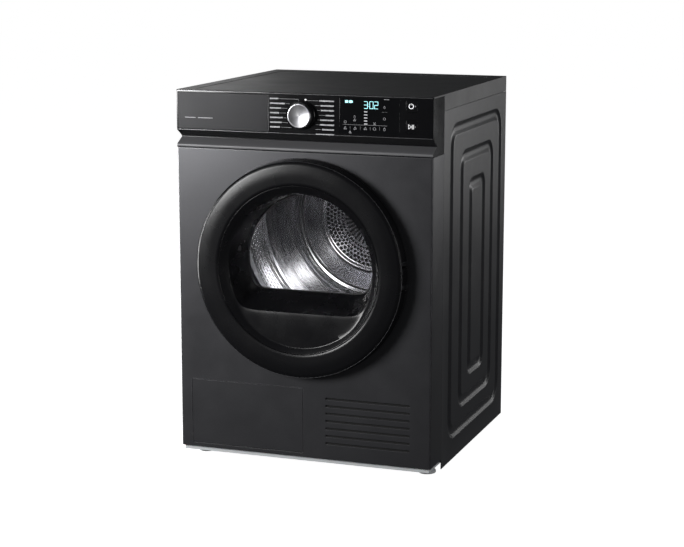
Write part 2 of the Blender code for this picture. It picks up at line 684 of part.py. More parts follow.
def hinge():
    """Fixed lugs that come through slots in the panel, a pin, and the leaf on the door."""
    reach = (HINGE_OUT + SHEET + 0.0015) / math.sin(HINGE_ARM)
    along = Vector((math.cos(HINGE_ARM), math.sin(HINGE_ARM)))
    across = Vector((-along.y, along.x)) * 0.0012
    start = Vector((HINGE_X, HINGE_Y))
    end = start + along * reach
    outline = [tuple(point) for point in (start + across, start - across, end - across, end + across)]
    plate = block((LUG_ROOT - 0.0045, FRONT + SHEET + FIT, DOOR_Z - 0.036),
                  (LUG_ROOT + 0.0180, FRONT + SHEET + FIT + 0.0025, DOOR_Z + 0.036))
    bracket = piece("hinge_bracket", plate, ZINC)
    spans = [(DOOR_Z + s * LUG_Z - LUG_HEIGHT / 2, DOOR_Z + s * LUG_Z + LUG_HEIGHT / 2) for s in (-1, 1)]
    join(bracket, *[prism(outline, "z", *span) for span in spans])
    join(bracket, *[rod(BARREL_R, "z", (HINGE_X, HINGE_Y), *span, 16) for span in spans])
    bore = PIN_R + 0.0004
    height = LUG_Z + LUG_HEIGHT / 2 + 0.002
    cut(bracket, rod(bore, "z", (HINGE_X, HINGE_Y), DOOR_Z - height, DOOR_Z + height, 16))
    piece("hinge_pin", rod(PIN_R, "z", (HINGE_X, HINGE_Y), DOOR_Z - height, DOOR_Z + height, 16), ZINC,
          smooth=40)
    half = LUG_Z - LUG_HEIGHT / 2 - 0.0006
    inner_face = FRONT - DOOR_GAP - DOOR_WALL - FIT
    thick, left, right = 0.0024, HINGE_X - 0.040, HINGE_X - BARREL_R + 0.001
    leaf_outline = [(right, HINGE_Y - thick / 2), (right, HINGE_Y + thick / 2),
                    (left + thick, HINGE_Y + thick / 2), (left + thick, inner_face),
                    (left - 0.006, inner_face), (left - 0.006, inner_face - thick),
                    (left, inner_face - thick), (left, HINGE_Y - thick / 2)]
    leaf = piece("hinge_leaf", prism(leaf_outline, "z", DOOR_Z - half, DOOR_Z + half), ZINC, door_axis())
    join(leaf, rod(BARREL_R, "z", (HINGE_X, HINGE_Y), DOOR_Z - half, DOOR_Z + half, 16))
    cut(leaf, rod(bore, "z", (HINGE_X, HINGE_Y), DOOR_Z - half - 0.01, DOOR_Z + half + 0.01, 16))


def latch():
    """The hook on the door reaches through the panel, over a sprung catch behind it."""
    x, front = HOOK_X, FRONT - DOOR_GAP + FIT
    barb, tip = FRONT + 0.0130, FRONT + 0.0200
    outline = [(x - 0.0012, front), (x + 0.0038, front), (x + 0.0038, tip), (x + 0.0008, tip),
               (x - 0.0042, barb + 0.0020), (x - 0.0042, barb), (x - 0.0012, barb)]
    piece("latch_hook", prism(outline, "z", DOOR_Z - 0.010, DOOR_Z + 0.010), ZINC, door_axis())
    catch = piece("latch_catch", block((x - 0.0300, FRONT + SHEET + FIT, DOOR_Z - 0.026),
                                       (x - 0.0062, FRONT + 0.0110, DOOR_Z + 0.026)), MATTE_BLACK)
    cut(catch, block((x - 0.0250, FRONT, DOOR_Z - 0.004), (x - 0.0180, FRONT + 0.02, DOOR_Z + 0.004)))


# ---------------------------------------------------------------- throat, bulkheads and lint filter
def door_throat():
    """The moulded ring from the panel's hole back to the drum, with a pocket for the lint filter."""
    w = THROAT_WALL
    mouth = HOLE_R + 0.0005
    rear = FRONT + BULKHEAD_IN - FIT
    behind = FRONT + SHEET + FIT
    step = FRONT + 0.0135
    flange = HOLE_R + 0.011
    profile = [(mouth, behind), (flange, behind), (flange, behind + w), (mouth + w, behind + w),
               (mouth + w, step + w), (THROAT_R + w, step + w), (THROAT_R + w, rear), (THROAT_R, rear),
               (THROAT_R, step), (mouth, step)]
    throat = piece("door_throat", turned(profile, "y", (0, DOOR_Z), TURNS), MATTE_BLACK, smooth=35)
    half = FILTER_WIDTH / 2 + 0.0045
    front, back = FRONT + FILTER_IN - 0.001, FRONT + FILTER_IN + FILTER_THICK + 0.001
    low, high = FILTER_LOW - 0.002, THROAT_LOW + 0.060
    meeting = DOOR_Z - math.sqrt(THROAT_R ** 2 - (half + w) ** 2) - 0.75 * w
    join(throat, block((-half - w, front - w, low - w), (half + w, back + w, meeting)))
    cut(throat, block((-half, front, low), (half, back, high)))
    cut(throat, rod(THROAT_R - FIT, "y", (0, DOOR_Z), FRONT + 0.03, FRONT + 0.13, TURNS))


def lint_filter():
    """A flat cassette that lifts out; its top follows the throat."""
    half = FILTER_WIDTH / 2
    outline = [(-half + 0.005, FILTER_LOW), (half - 0.005, FILTER_LOW)]
    for i in range(11):
        x = half - FILTER_WIDTH * i / 10
        outline.append((x, DOOR_Z - math.sqrt(THROAT_R ** 2 - x ** 2)))
    front = FRONT + FILTER_IN
    filter_frame = piece("lint_filter", prism(outline, "y", front, front + FILTER_THICK), MATTE_BLACK)
    cut(filter_frame, block((-0.045, front + 0.008, THROAT_LOW - 0.025),
                            (0.045, front + 0.018, THROAT_LOW + 0.05)))


def mouth_outline():
    """What the throat and the drum's collar both leave open."""
    middle = (DOOR_Z + DRUM_Z) / 2
    points = []
    for i in range(32):
        turn = 2 * math.pi * i / 32
        reach = []
        for centre, radius in ((DOOR_Z, THROAT_R), (DRUM_Z, COLLAR_R - 0.004)):
            off = centre - middle
            reach.append(off * math.sin(turn) + math.sqrt(radius ** 2 - (off * math.cos(turn)) ** 2))
        points.append((min(reach) * math.cos(turn), middle + min(reach) * math.sin(turn)))
    return points


def roller_places():
    out = DRUM_R + ROLLER_R + 0.0005
    across, up = out * math.sin(ROLLER_ANGLE), DRUM_Z - out * math.cos(ROLLER_ANGLE)
    return {"left": (-across, up), "right": (across, up)}


def front_bulkhead():
    """The plate behind the front panel: it carries the drum's collar and the two roller axles."""
    half = HALF - 0.016
    front, rear = FRONT + BULKHEAD_IN, FRONT + BULKHEAD_IN + BULKHEAD
    plate = piece("front_bulkhead", block((-half, front, TRAY_INSIDE + FIT),
                                          (half, rear, FACE_LOW + 0.010)), ZINC)
    cut(plate, prism(mouth_outline(), "y", front - 0.01, rear + 0.01),
        block((EXCHANGER_X + 0.004, front - 0.01, TRAY_INSIDE + 0.010),
              (EXCHANGER_X + EXCHANGER_WIDTH - 0.004, rear + 0.01, EXCHANGER_TOP - 0.004)))
    join(plate, ring(COLLAR_R - 0.004, COLLAR_R, "y", (0, DRUM_Z), rear - 0.001, rear + 0.0190, TURNS))
    axles = []
    for place in roller_places().values():
        end = ROLLER_Y + ROLLER_WIDTH + 0.004
        axles.append(turned([(0, rear - 0.001), (0.012, rear - 0.001), (0.012, ROLLER_Y - 0.0006),
                             (ROLLER_PIN_R, ROLLER_Y - 0.0006), (ROLLER_PIN_R, end), (0, end)],
                            "y", place, 10))
    join(plate, *axles)


def rollers():
    for name, place in roller_places().items():
        mesh = ring(ROLLER_PIN_R + 0.0008, ROLLER_R, "y", place, ROLLER_Y, ROLLER_Y + ROLLER_WIDTH, 20)
        piece(f"drum_roller_{name}", mesh, RUBBER, (place[0], ROLLER_Y, place[1]), smooth=35)


def rear_bulkhead():
    """The plate behind the drum, with the bearing and the holes the warm air comes through."""
    half = HALF - 0.016
    plate = piece("rear_bulkhead", block((-half, REAR_WALL, TRAY_INSIDE + FIT),
                                         (half, REAR_WALL + BULKHEAD, FACE_LOW + 0.010)), ZINC)
    holes = [rod(BEARING_R, "y", (0, DRUM_Z), REAR_WALL - 0.01, REAR_WALL + 0.02, 16)]
    for i in range(6):
        turn = 2 * math.pi * (i + 0.5) / 6
        place = (0.095 * math.cos(turn), DRUM_Z + 0.095 * math.sin(turn))
        holes.append(rod(0.030, "y", place, REAR_WALL - 0.01, REAR_WALL + 0.02, 12))
    cut(plate, *holes)
    bore = SHAFT_R + 0.0008
    profile = [(bore, REAR_WALL - 0.004), (BEARING_R + 0.006, REAR_WALL - 0.004),
               (BEARING_R + 0.006, REAR_WALL - FIT), (BEARING_R - 0.001, REAR_WALL - FIT),
               (BEARING_R - 0.001, REAR_WALL + 0.012), (bore, REAR_WALL + 0.012)]
    piece("rear_bearing", turned(profile, "y", (0, DRUM_Z), 16), ZINC, smooth=40)


def air_duct():
    """The shell behind the rear bulkhead that brings the warm air up."""
    front, rear = REAR_WALL + BULKHEAD + FIT, BACK - REAR_INSET - SHEET - 0.004
    low, high, wall = 0.100, DRUM_Z + 0.165, 0.002
    duct = piece("air_duct", block((-0.160, front, low), (0.160, rear, high)), MATTE_BLACK)
    cut(duct, block((-0.160 + wall, front - 0.01, low + wall), (0.160 - wall, rear - wall, high - wall)))


def felt_seals():
    front = FRONT + BULKHEAD_IN + BULKHEAD + 0.0008
    piece("front_felt_seal", ring(COLLAR_R + 0.0008, LIP_R - 0.0010, "y", (0, DRUM_Z), front,
                                  front + 0.016, TURNS), FELT, smooth=35)
    piece("rear_felt_seal", ring(DRUM_R - 0.019, DRUM_R - 0.002, "y", (0, DRUM_Z), DRUM_END + 0.0008,
                                 REAR_WALL - FIT, TURNS), FELT, smooth=35)


# ---------------------------------------------------------------- drum and its drive
def drum():
    """Shell, perforated rear wall, three lifters and the shaft; they turn about one axis."""
    axis = (0, DRUM_END, DRUM_Z)
    inner = DRUM_R - DRUM_SHEET
    start, end = FRONT + DRUM_START, DRUM_END
    profile = [(LIP_R, start), (DRUM_R, start), (DRUM_R, end), (inner, end), (inner, start + DRUM_SHEET),
               (LIP_R, start + DRUM_SHEET)]
    piece("drum_shell", turned(profile, "y", (0, DRUM_Z), TURNS), STAINLESS, axis, smooth=35)
    rim = inner - 0.0006
    hub = 0.150
    profile = [(0, end - 0.005), (hub, end - 0.005), (hub + 0.008, end - 0.011), (rim, end - 0.011),
               (rim, end - 0.009), (hub + 0.007, end - 0.009), (hub - 0.001, end - 0.003), (0, end - 0.003)]
    wall = piece("drum_rear_wall", turned(profile, "y", (0, DRUM_Z), TURNS), STAINLESS, axis, smooth=35)
    holes = []
    for i in range(12):
        turn = 2 * math.pi * i / 12
        place = (0.115 * math.cos(turn), DRUM_Z + 0.115 * math.sin(turn))
        holes.append(rod(0.012, "y", place, end - 0.02, end + 0.02, 8))
    cut(wall, *holes)
    foot, top = inner - 0.0040, inner - LIFTER_HEIGHT
    section = [(-0.035, foot), (-0.022, foot - 0.020), (-0.010, top), (0.010, top), (0.022, foot - 0.020),
               (0.035, foot)]
    for i in range(LIFTERS):
        turn = 2 * math.pi * (i + 0.25) / LIFTERS
        outline = [(r * math.cos(turn) - a * math.sin(turn), DRUM_Z + r * math.sin(turn) + a * math.cos(turn))
                   for a, r in section]
        piece(f"drum_lifter_{i + 1}", prism(outline, "y", start + 0.030, end - 0.030), MATTE_BLACK, axis)
    profile = [(0, end - 0.0026), (0.040, end - 0.0026), (0.040, end + 0.0015), (SHAFT_R, end + 0.0015),
               (SHAFT_R, REAR_WALL + 0.020), (0, REAR_WALL + 0.020)]
    piece("drum_shaft", turned(profile, "y", (0, DRUM_Z), 16), ZINC, axis, smooth=40)


def belt_line(offset):
    """The closed path round the drum and the motor pulley, offset outwards."""
    toward = Vector((MOTOR_X, MOTOR_Z - DRUM_Z))
    heading = math.atan2(toward.y, toward.x)
    lean = math.acos((DRUM_R - PULLEY_R) / toward.length)
    points = []
    for i in range(ARC + 1):
        turn = heading + lean + (2 * math.pi - 2 * lean) * i / ARC
        r = DRUM_R + offset
        points.append((r * math.cos(turn), DRUM_Z + r * math.sin(turn)))
    for i in range(7):
        turn = heading - lean + 2 * lean * i / 6
        r = PULLEY_R + offset
        points.append((MOTOR_X + r * math.cos(turn), MOTOR_Z + r * math.sin(turn)))
    return points


def drive_belt():
    """A flat belt round the drum and the pulley."""
    inner, outer = belt_line(0.0010), belt_line(0.0010 + BELT)
    low, high = BELT_Y - BELT_WIDTH / 2, BELT_Y + BELT_WIDTH / 2
    rings = [[Vector((x, y, z)) for x, z in line]
             for line, y in ((inner, low), (outer, low), (outer, high), (inner, high))]
    piece("drive_belt", skin(rings, caps=False), RUBBER, smooth=35)


def idler_place():
    """Against the outside of the belt's slack run."""
    line = belt_line(0.0010 + BELT)
    near, far = Vector(line[ARC]), Vector(line[ARC + 1])
    along = (far - near).normalized()
    outward = Vector((along.y, -along.x))
    return near.lerp(far, 0.75) + outward * (IDLER_R + 0.0005)


def motor():
    """Motor, its shaft with the belt pulley, and the process fan on the shaft's other end."""
    centre = (MOTOR_X, MOTOR_Z)
    front, rear = FRONT + 0.205, FRONT + 0.300
    profile = [(0.0075, front), (0.030, front), (MOTOR_R, front + 0.007), (MOTOR_R, rear - 0.007),
               (0.030, rear), (0.0075, rear)]
    piece("motor", turned(profile, "y", centre, 24), ZINC, smooth=35)
    flange, half, shaft = PULLEY_R + 0.004, BELT_WIDTH / 2 + 0.0008, 0.006
    profile = [(0, BELT_Y - 0.013), (shaft, BELT_Y - 0.013), (shaft, BELT_Y - half - 0.0017),
               (flange, BELT_Y - half - 0.0017), (flange, BELT_Y - half), (PULLEY_R, BELT_Y - half),
               (PULLEY_R, BELT_Y + half), (flange, BELT_Y + half), (flange, BELT_Y + half + 0.0017),
               (shaft, BELT_Y + half + 0.0017), (shaft, rear + 0.050), (0, rear + 0.050)]
    axis = (MOTOR_X, BELT_Y, MOTOR_Z)
    piece("motor_shaft", turned(profile, "y", centre, 16), ZINC, axis, smooth=35)
    blades, outline = 10, []
    for i in range(blades):
        for share, r in ((0, 0.020), (0.30, FAN_R), (0.42, FAN_R), (0.30, 0.020)):
            turn = 2 * math.pi * (i + share) / blades
            outline.append((MOTOR_X + r * math.cos(turn), MOTOR_Z + r * math.sin(turn)))
    wheel = piece("fan_wheel", prism(outline, "y", rear + 0.032, rear + 0.076), MATTE_BLACK, axis)
    cut(wheel, rod(shaft + 0.0005, "y", centre, rear, rear + 0.1, 16))
    low, high, half = TRAY_INSIDE + FIT, MOTOR_Z + FAN_R + 0.010, FAN_R + 0.010
    housing = piece("fan_housing", block((MOTOR_X - half, rear + 0.022, low),
                                         (MOTOR_X + half, rear + 0.086, high)), MATTE_BLACK)
    cut(housing, rod(FAN_R + 0.0055, "y", centre, rear + 0.0245, rear + 0.0835, 24))
    cut(housing, rod(0.030, "y", centre, rear, rear + 0.040, 16))
    cut(housing, block((MOTOR_X - half - 0.01, rear + 0.035, MOTOR_Z + 0.005),
                       (MOTOR_X, rear + 0.075, MOTOR_Z + 0.040)))


def tensioner():
    """A sprung arm on the tray's post holds the idler against the belt."""
    idler = idler_place()
    pivot = Vector((ARM_X, ARM_Z))
    along = (idler - pivot).normalized()
    lean = math.atan2(along.y, along.x)
    outline = []
    for centre, start in ((idler, lean - math.pi / 2), (pivot, lean + math.pi / 2)):
        for i in range(7):
            turn = start + math.pi * i / 6
            outline.append((centre.x + 0.009 * math.cos(turn), centre.y + 0.009 * math.sin(turn)))
    rear = ARM_Y + ARM_THICK
    arm = piece("tensioner_arm", prism(outline, "y", ARM_Y, rear), ZINC, (ARM_X, ARM_Y, ARM_Z))
    join(arm, rod(0.004, "y", idler, BELT_Y - 0.008, ARM_Y + 0.001, 12),
         rod(ARM_PIN_R, "y", pivot, rear - 0.001, rear + 0.0100, 12))
    mesh = ring(0.0048, IDLER_R, "y", idler, BELT_Y - 0.007, BELT_Y + 0.007, 16)
    piece("idler_pulley", mesh, MATTE_BLACK, (idler.x, BELT_Y, idler.y), smooth=35)


# ---------------------------------------------------------------- heat pump
def finned(name, front, rear, colour):
    """A stack of upright fins on one base."""
    left, right = EXCHANGER_X, EXCHANGER_X + EXCHANGER_WIDTH
    low, fins = TRAY_INSIDE + FIT, 9
    pitch = (right - left - 0.012) / (fins - 1)
    outline = [(left, low), (right, low)]
    for i in range(fins):
        x = right - pitch * i
        outline += [(x, EXCHANGER_TOP), (x - 0.012, EXCHANGER_TOP)]
        if i < fins - 1:
            outline += [(x - 0.012, low + 0.012), (x - pitch, low + 0.012)]
    piece(name, prism(outline, "y", front, rear), colour)


def heat_pump():
    finned("evaporator", FRONT + 0.125, FRONT + 0.205, ALUMINIUM)
    finned("condenser", FRONT + 0.225, FRONT + 0.325, COPPER)
    low = TRAY_INSIDE + FIT
    profile = [(0, low), (0.050, low), (0.052, low + 0.004), (0.052, 0.145), (0.044, 0.160), (0.018, 0.170),
               (0, 0.170)]
    piece("compressor", turned(profile, "z", (HALF - 0.100, FRONT + 0.455), 24), MATTE_BLACK, smooth=40)
    profile = [(0, low), (0.030, low), (0.030, 0.070), (0.012, 0.076), (0.012, 0.095), (0, 0.095)]
    piece("condensate_pump", turned(profile, "z", (-HALF + 0.100, FRONT + 0.420), 16), PALE_PLASTIC, smooth=40)


def exchanger_cover():
    """The cover behind the service flap, held by two levers that turn."""
    left, right = EXCHANGER_X - 0.006, EXCHANGER_X + EXCHANGER_WIDTH + 0.006
    rear = FRONT + BULKHEAD_IN - FIT
    front = rear - 0.0076
    outline = rounded_box(left, right, TRAY_INSIDE + 0.004, EXCHANGER_TOP + 0.008, 0.010)
    cover = piece("exchanger_cover", prism(outline, "y", front, rear), PALE_PLASTIC)
    height, pin = 0.105, 0.005
    places = {"left": left + 0.020, "right": right - 0.020}
    cut(cover, *[rod(pin + 0.0008, "y", (x, height), front - 0.01, rear - 0.002, 12) for x in places.values()])
    for name, x in places.items():
        bar = prism(rounded_box(x - 0.006, x + 0.006, height - 0.024, height + 0.024, 0.005), "y",
                    front - 0.0100, front - 0.0020)
        lever = piece(f"cover_lever_{name}", bar, MATTE_BLACK, (x, front, height))
        join(lever, rod(pin, "y", (x, height), front - 0.0030, rear - 0.0025, 12))


def build():
    for thing in list(bpy.data.objects):
        bpy.data.objects.remove(thing)
    for part in (base_tray, feet, side_panels, rear_panel, cord_gland, worktop, front_panel, service_flap,
                 control_fascia, controls, tank_drawer, door_ring, door_bowl, door_window, door_inner_frame,
                 door_seal, hinge, latch, door_throat, lint_filter, front_bulkhead, rollers, rear_bulkhead,
                 air_duct, felt_seals, drum, drive_belt, motor, tensioner, heat_pump, exchanger_cover):
        part()


build()
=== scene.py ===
"""Looks of the front-loading clothes dryer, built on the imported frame.

Everything is in metres in the row's frame. Places come from the CAD nodes' boxes.
"""
import json
import math
import random

import bmesh
import bpy
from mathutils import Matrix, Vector


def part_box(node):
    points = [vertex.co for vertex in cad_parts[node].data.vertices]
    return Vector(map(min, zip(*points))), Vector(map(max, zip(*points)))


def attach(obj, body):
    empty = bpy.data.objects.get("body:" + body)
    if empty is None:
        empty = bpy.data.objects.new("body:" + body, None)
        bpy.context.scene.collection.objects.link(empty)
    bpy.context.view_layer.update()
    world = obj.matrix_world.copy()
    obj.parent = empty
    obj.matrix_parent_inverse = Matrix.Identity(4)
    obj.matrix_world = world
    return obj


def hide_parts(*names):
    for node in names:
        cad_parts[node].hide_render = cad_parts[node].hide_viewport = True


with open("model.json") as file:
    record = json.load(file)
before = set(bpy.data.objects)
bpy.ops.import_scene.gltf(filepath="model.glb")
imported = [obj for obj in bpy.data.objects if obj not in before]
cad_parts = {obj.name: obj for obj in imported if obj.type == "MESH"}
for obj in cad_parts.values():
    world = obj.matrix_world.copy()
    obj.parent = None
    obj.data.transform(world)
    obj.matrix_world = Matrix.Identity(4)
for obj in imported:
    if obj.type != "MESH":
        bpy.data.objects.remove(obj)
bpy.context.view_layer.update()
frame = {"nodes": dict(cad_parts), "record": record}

random.seed(7)

# ---- places read from the frame
def middle(node):
    low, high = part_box(node)
    return (low.z + high.z) / 2


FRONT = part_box("front_panel")[0].y
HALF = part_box("worktop")[1].x
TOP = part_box("worktop")[1].z
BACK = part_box("worktop")[1].y
FASCIA_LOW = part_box("control_fascia")[0].z
FASCIA_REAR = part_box("control_fascia")[1].y
SIDE_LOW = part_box("right_side_panel")[0].z
SIDE_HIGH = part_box("right_side_panel")[1].z
SIDE_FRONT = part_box("right_side_panel")[0].y
SKIRT_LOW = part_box("worktop")[0].z
PANEL_LOW, PANEL_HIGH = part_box("front_panel")[0].z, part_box("front_panel")[1].z
DOOR_R, DOOR_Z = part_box("door_ring")[1].x, middle("door_ring")
DRUM_R, DRUM_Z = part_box("drum_shell")[1].x, middle("drum_shell")
DRUM_START, DRUM_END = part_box("drum_shell")[0].y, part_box("drum_shell")[1].y
FACE_LOW = TOP - 0.090
KNOB_Z = middle("programme_knob")
HOLE_R = DOOR_R - 0.055
THROAT_R = DOOR_R - 0.0695
BOWL_R, BOWL_FLAT = DOOR_R - 0.077, 0.0970
GLASS_R, GLASS_FLAT, GLASS_LIFT = DOOR_R - 0.0965, 0.0695, 0.0090
GLASS_Y = FRONT + 0.048
SHEET = 0.0012
FINE = 192              # sides of the circles that show


# ---------------------------------------------------------------- mesh helpers
def on_axis(axis, a, b, along):
    return {"x": Vector((along, a, b)), "y": Vector((a, along, b)), "z": Vector((a, b, along))}[axis]


def block(low, high):
    mesh = bmesh.new()
    bmesh.ops.create_cube(mesh, size=1.0)
    low, high = Vector(low), Vector(high)
    for vert in mesh.verts:
        vert.co = Vector(a * b for a, b in zip(vert.co, high - low)) + (low + high) / 2
    return mesh


def strip(mesh, near, far):
    """Faces between two equal rows of vertices; a row may be one vertex repeated."""
    for i in range(len(near)):
        j = (i + 1) % len(near)
        corners = list(dict.fromkeys((near[i], near[j], far[j], far[i])))
        if len(corners) > 2:
            mesh.faces.new(corners)


def skin(rings, caps=True):
    """A closed skin over equal rings of points, capped at both ends or run into a loop."""
    mesh = bmesh.new()
    rows = [[mesh.verts.new(point) for point in ring] for ring in rings]
    for near, far in zip(rows, rows[1:] if caps else rows[1:] + rows[:1]):
        strip(mesh, near, far)
    if caps:
        mesh.faces.new(rows[0])
        mesh.faces.new(rows[-1])
    return mesh


def prism(outline, axis, low, high):
    return skin([[on_axis(axis, a, b, end) for a, b in outline] for end in (low, high)])


def turned(profile, axis, centre, segments=FINE):
    """A profile of (radius, along) turned about an axis; it closes on itself or on the axis."""
    mesh = bmesh.new()
    rows = []
    for radius, along in profile:
        if radius < 1e-9:
            rows.append([mesh.verts.new(on_axis(axis, centre[0], centre[1], along))] * segments)
            continue
        row = []
        for i in range(segments):
            turn = 2 * math.pi * i / segments
            row.append(mesh.verts.new(on_axis(axis, centre[0] + radius * math.cos(turn),
                                              centre[1] + radius * math.sin(turn), along)))
        rows.append(row)
    for near, far in zip(rows, rows[1:] + rows[:1]):
        strip(mesh, near, far)
    return mesh


def pressed_sheet(rings, place):
    """Thin sheet through rings of (outline, depth); place(a, b, depth) gives each point."""
    outer = [[place(a, b, depth) for a, b in ring] for ring, depth in rings]
    inner = [[place(a, b, depth + SHEET) for a, b in ring] for ring, depth in reversed(rings)]
    mesh = bmesh.new()
    rows = [[mesh.verts.new(point) for point in row] for row in outer + inner]
    middle = len(outer)
    for near, far in zip(rows, rows[1:] + rows[:1]):
        if near is not rows[middle - 1]:
            strip(mesh, near, far)
    mesh.faces.new(rows[middle - 1])
    mesh.faces.new(rows[middle])
    return mesh


def disc(radius, place, low, high, segments=FINE):
    """A solid cylinder along Y."""
    return turned([(0, low), (radius, low), (radius, high), (0, high)], "y", place, segments)


def rounded(left, right, low, high, radius, steps=8):
    """The outline of a rectangle with round corners."""
    points = []
    for a, b, start in ((right, low, -90), (right, high, 0), (left, high, 90), (left, low, 180)):
        middle_a = a - radius if a == right else a + radius
        middle_b = b - radius if b == high else b + radius
        for i in range(steps + 1):
            turn = math.radians(start + 90 * i / steps)
            points.append((middle_a + radius * math.cos(turn), middle_b + radius * math.sin(turn)))
    return points


def plate(low, high, radius, ahead, behind, gap=0.0):
    """A plate facing the front, as wide and high as a box and a gap more all round."""
    return prism(rounded(low.x - gap, high.x + gap, low.z - gap, high.z + gap, radius), "y", ahead, behind)


def smooth_path(points, radii, steps=6):
    """An open line of (a, b) points with its inner corners rounded by the given radii."""
    out = [Vector(points[0])]
    for k in range(1, len(points) - 1):
        before, corner, after = (Vector(points[i]) for i in (k - 1, k, k + 1))
        radius = radii[k - 1]
        if radius <= 0:
            out.append(corner)
            continue
        u, v = (before - corner).normalized(), (after - corner).normalized()
        reach = min(radius, (before - corner).length * 0.49, (after - corner).length * 0.49)
        start, end = corner + u * reach, corner + v * reach
        for i in range(steps + 1):
            t = i / steps
            out.append(start * (1 - t) ** 2 + corner * 2 * t * (1 - t) + end * t * t)
    out.append(Vector(points[-1]))
    return [tuple(point) for point in out]


def merged(*meshes):
    whole = bmesh.new()
    for part in meshes:
        bmesh.ops.recalc_face_normals(part, faces=part.faces)
        data = bpy.data.meshes.new("part")
        part.to_mesh(data)
        part.free()
        whole.from_mesh(data)
        bpy.data.meshes.remove(data)
    return whole


def raw(name, mesh, tidy=True):
    if tidy:
        bmesh.ops.recalc_face_normals(mesh, faces=mesh.faces)
    data = bpy.data.meshes.new(name)
    mesh.to_mesh(data)
    mesh.free()
    thing = bpy.data.objects.new(name, data)
    bpy.context.scene.collection.objects.link(thing)
    return thing


def carve(thing, mesh, operation="DIFFERENCE"):
    """Apply one Boolean, so that the finished mesh carries no tool with it."""
    helper = raw("tool", mesh)
    modifier = thing.modifiers.new("carve", "BOOLEAN")
    modifier.operation = operation
    modifier.object = helper
    graph = bpy.context.evaluated_depsgraph_get()
    done = bpy.data.meshes.new_from_object(thing.evaluated_get(graph))
    thing.modifiers.clear()
    old, thing.data = thing.data, done
    bpy.data.meshes.remove(old)
    data = helper.data
    bpy.data.objects.remove(helper)
    bpy.data.meshes.remove(data)


def finish_piece(thing, surface, body, slot, replaces=(), edge=0.0, angle=35, sharp=40, parts=3):
    """Material, soft edges, smooth shading, and the body the piece rides on."""
    thing.data.materials.clear()
    thing.data.materials.append(surface.material)
    for polygon in thing.data.polygons:
        polygon.material_index = 0
    thing.data.shade_smooth()
    thing.data.set_sharp_from_angle(angle=math.radians(sharp))
    if edge:
        bevel = thing.modifiers.new("edge", "BEVEL")
        bevel.width = edge
        bevel.segments = parts
        bevel.limit_method = "ANGLE"
        bevel.angle_limit = math.radians(angle)
        bevel.harden_normals = True
        bevel.use_clamp_overlap = True
    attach(thing, body)
    if replaces:
        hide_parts(*replaces)


def show(name, mesh, *finish, **details):
    finish_piece(raw(name, mesh), *finish, **details)


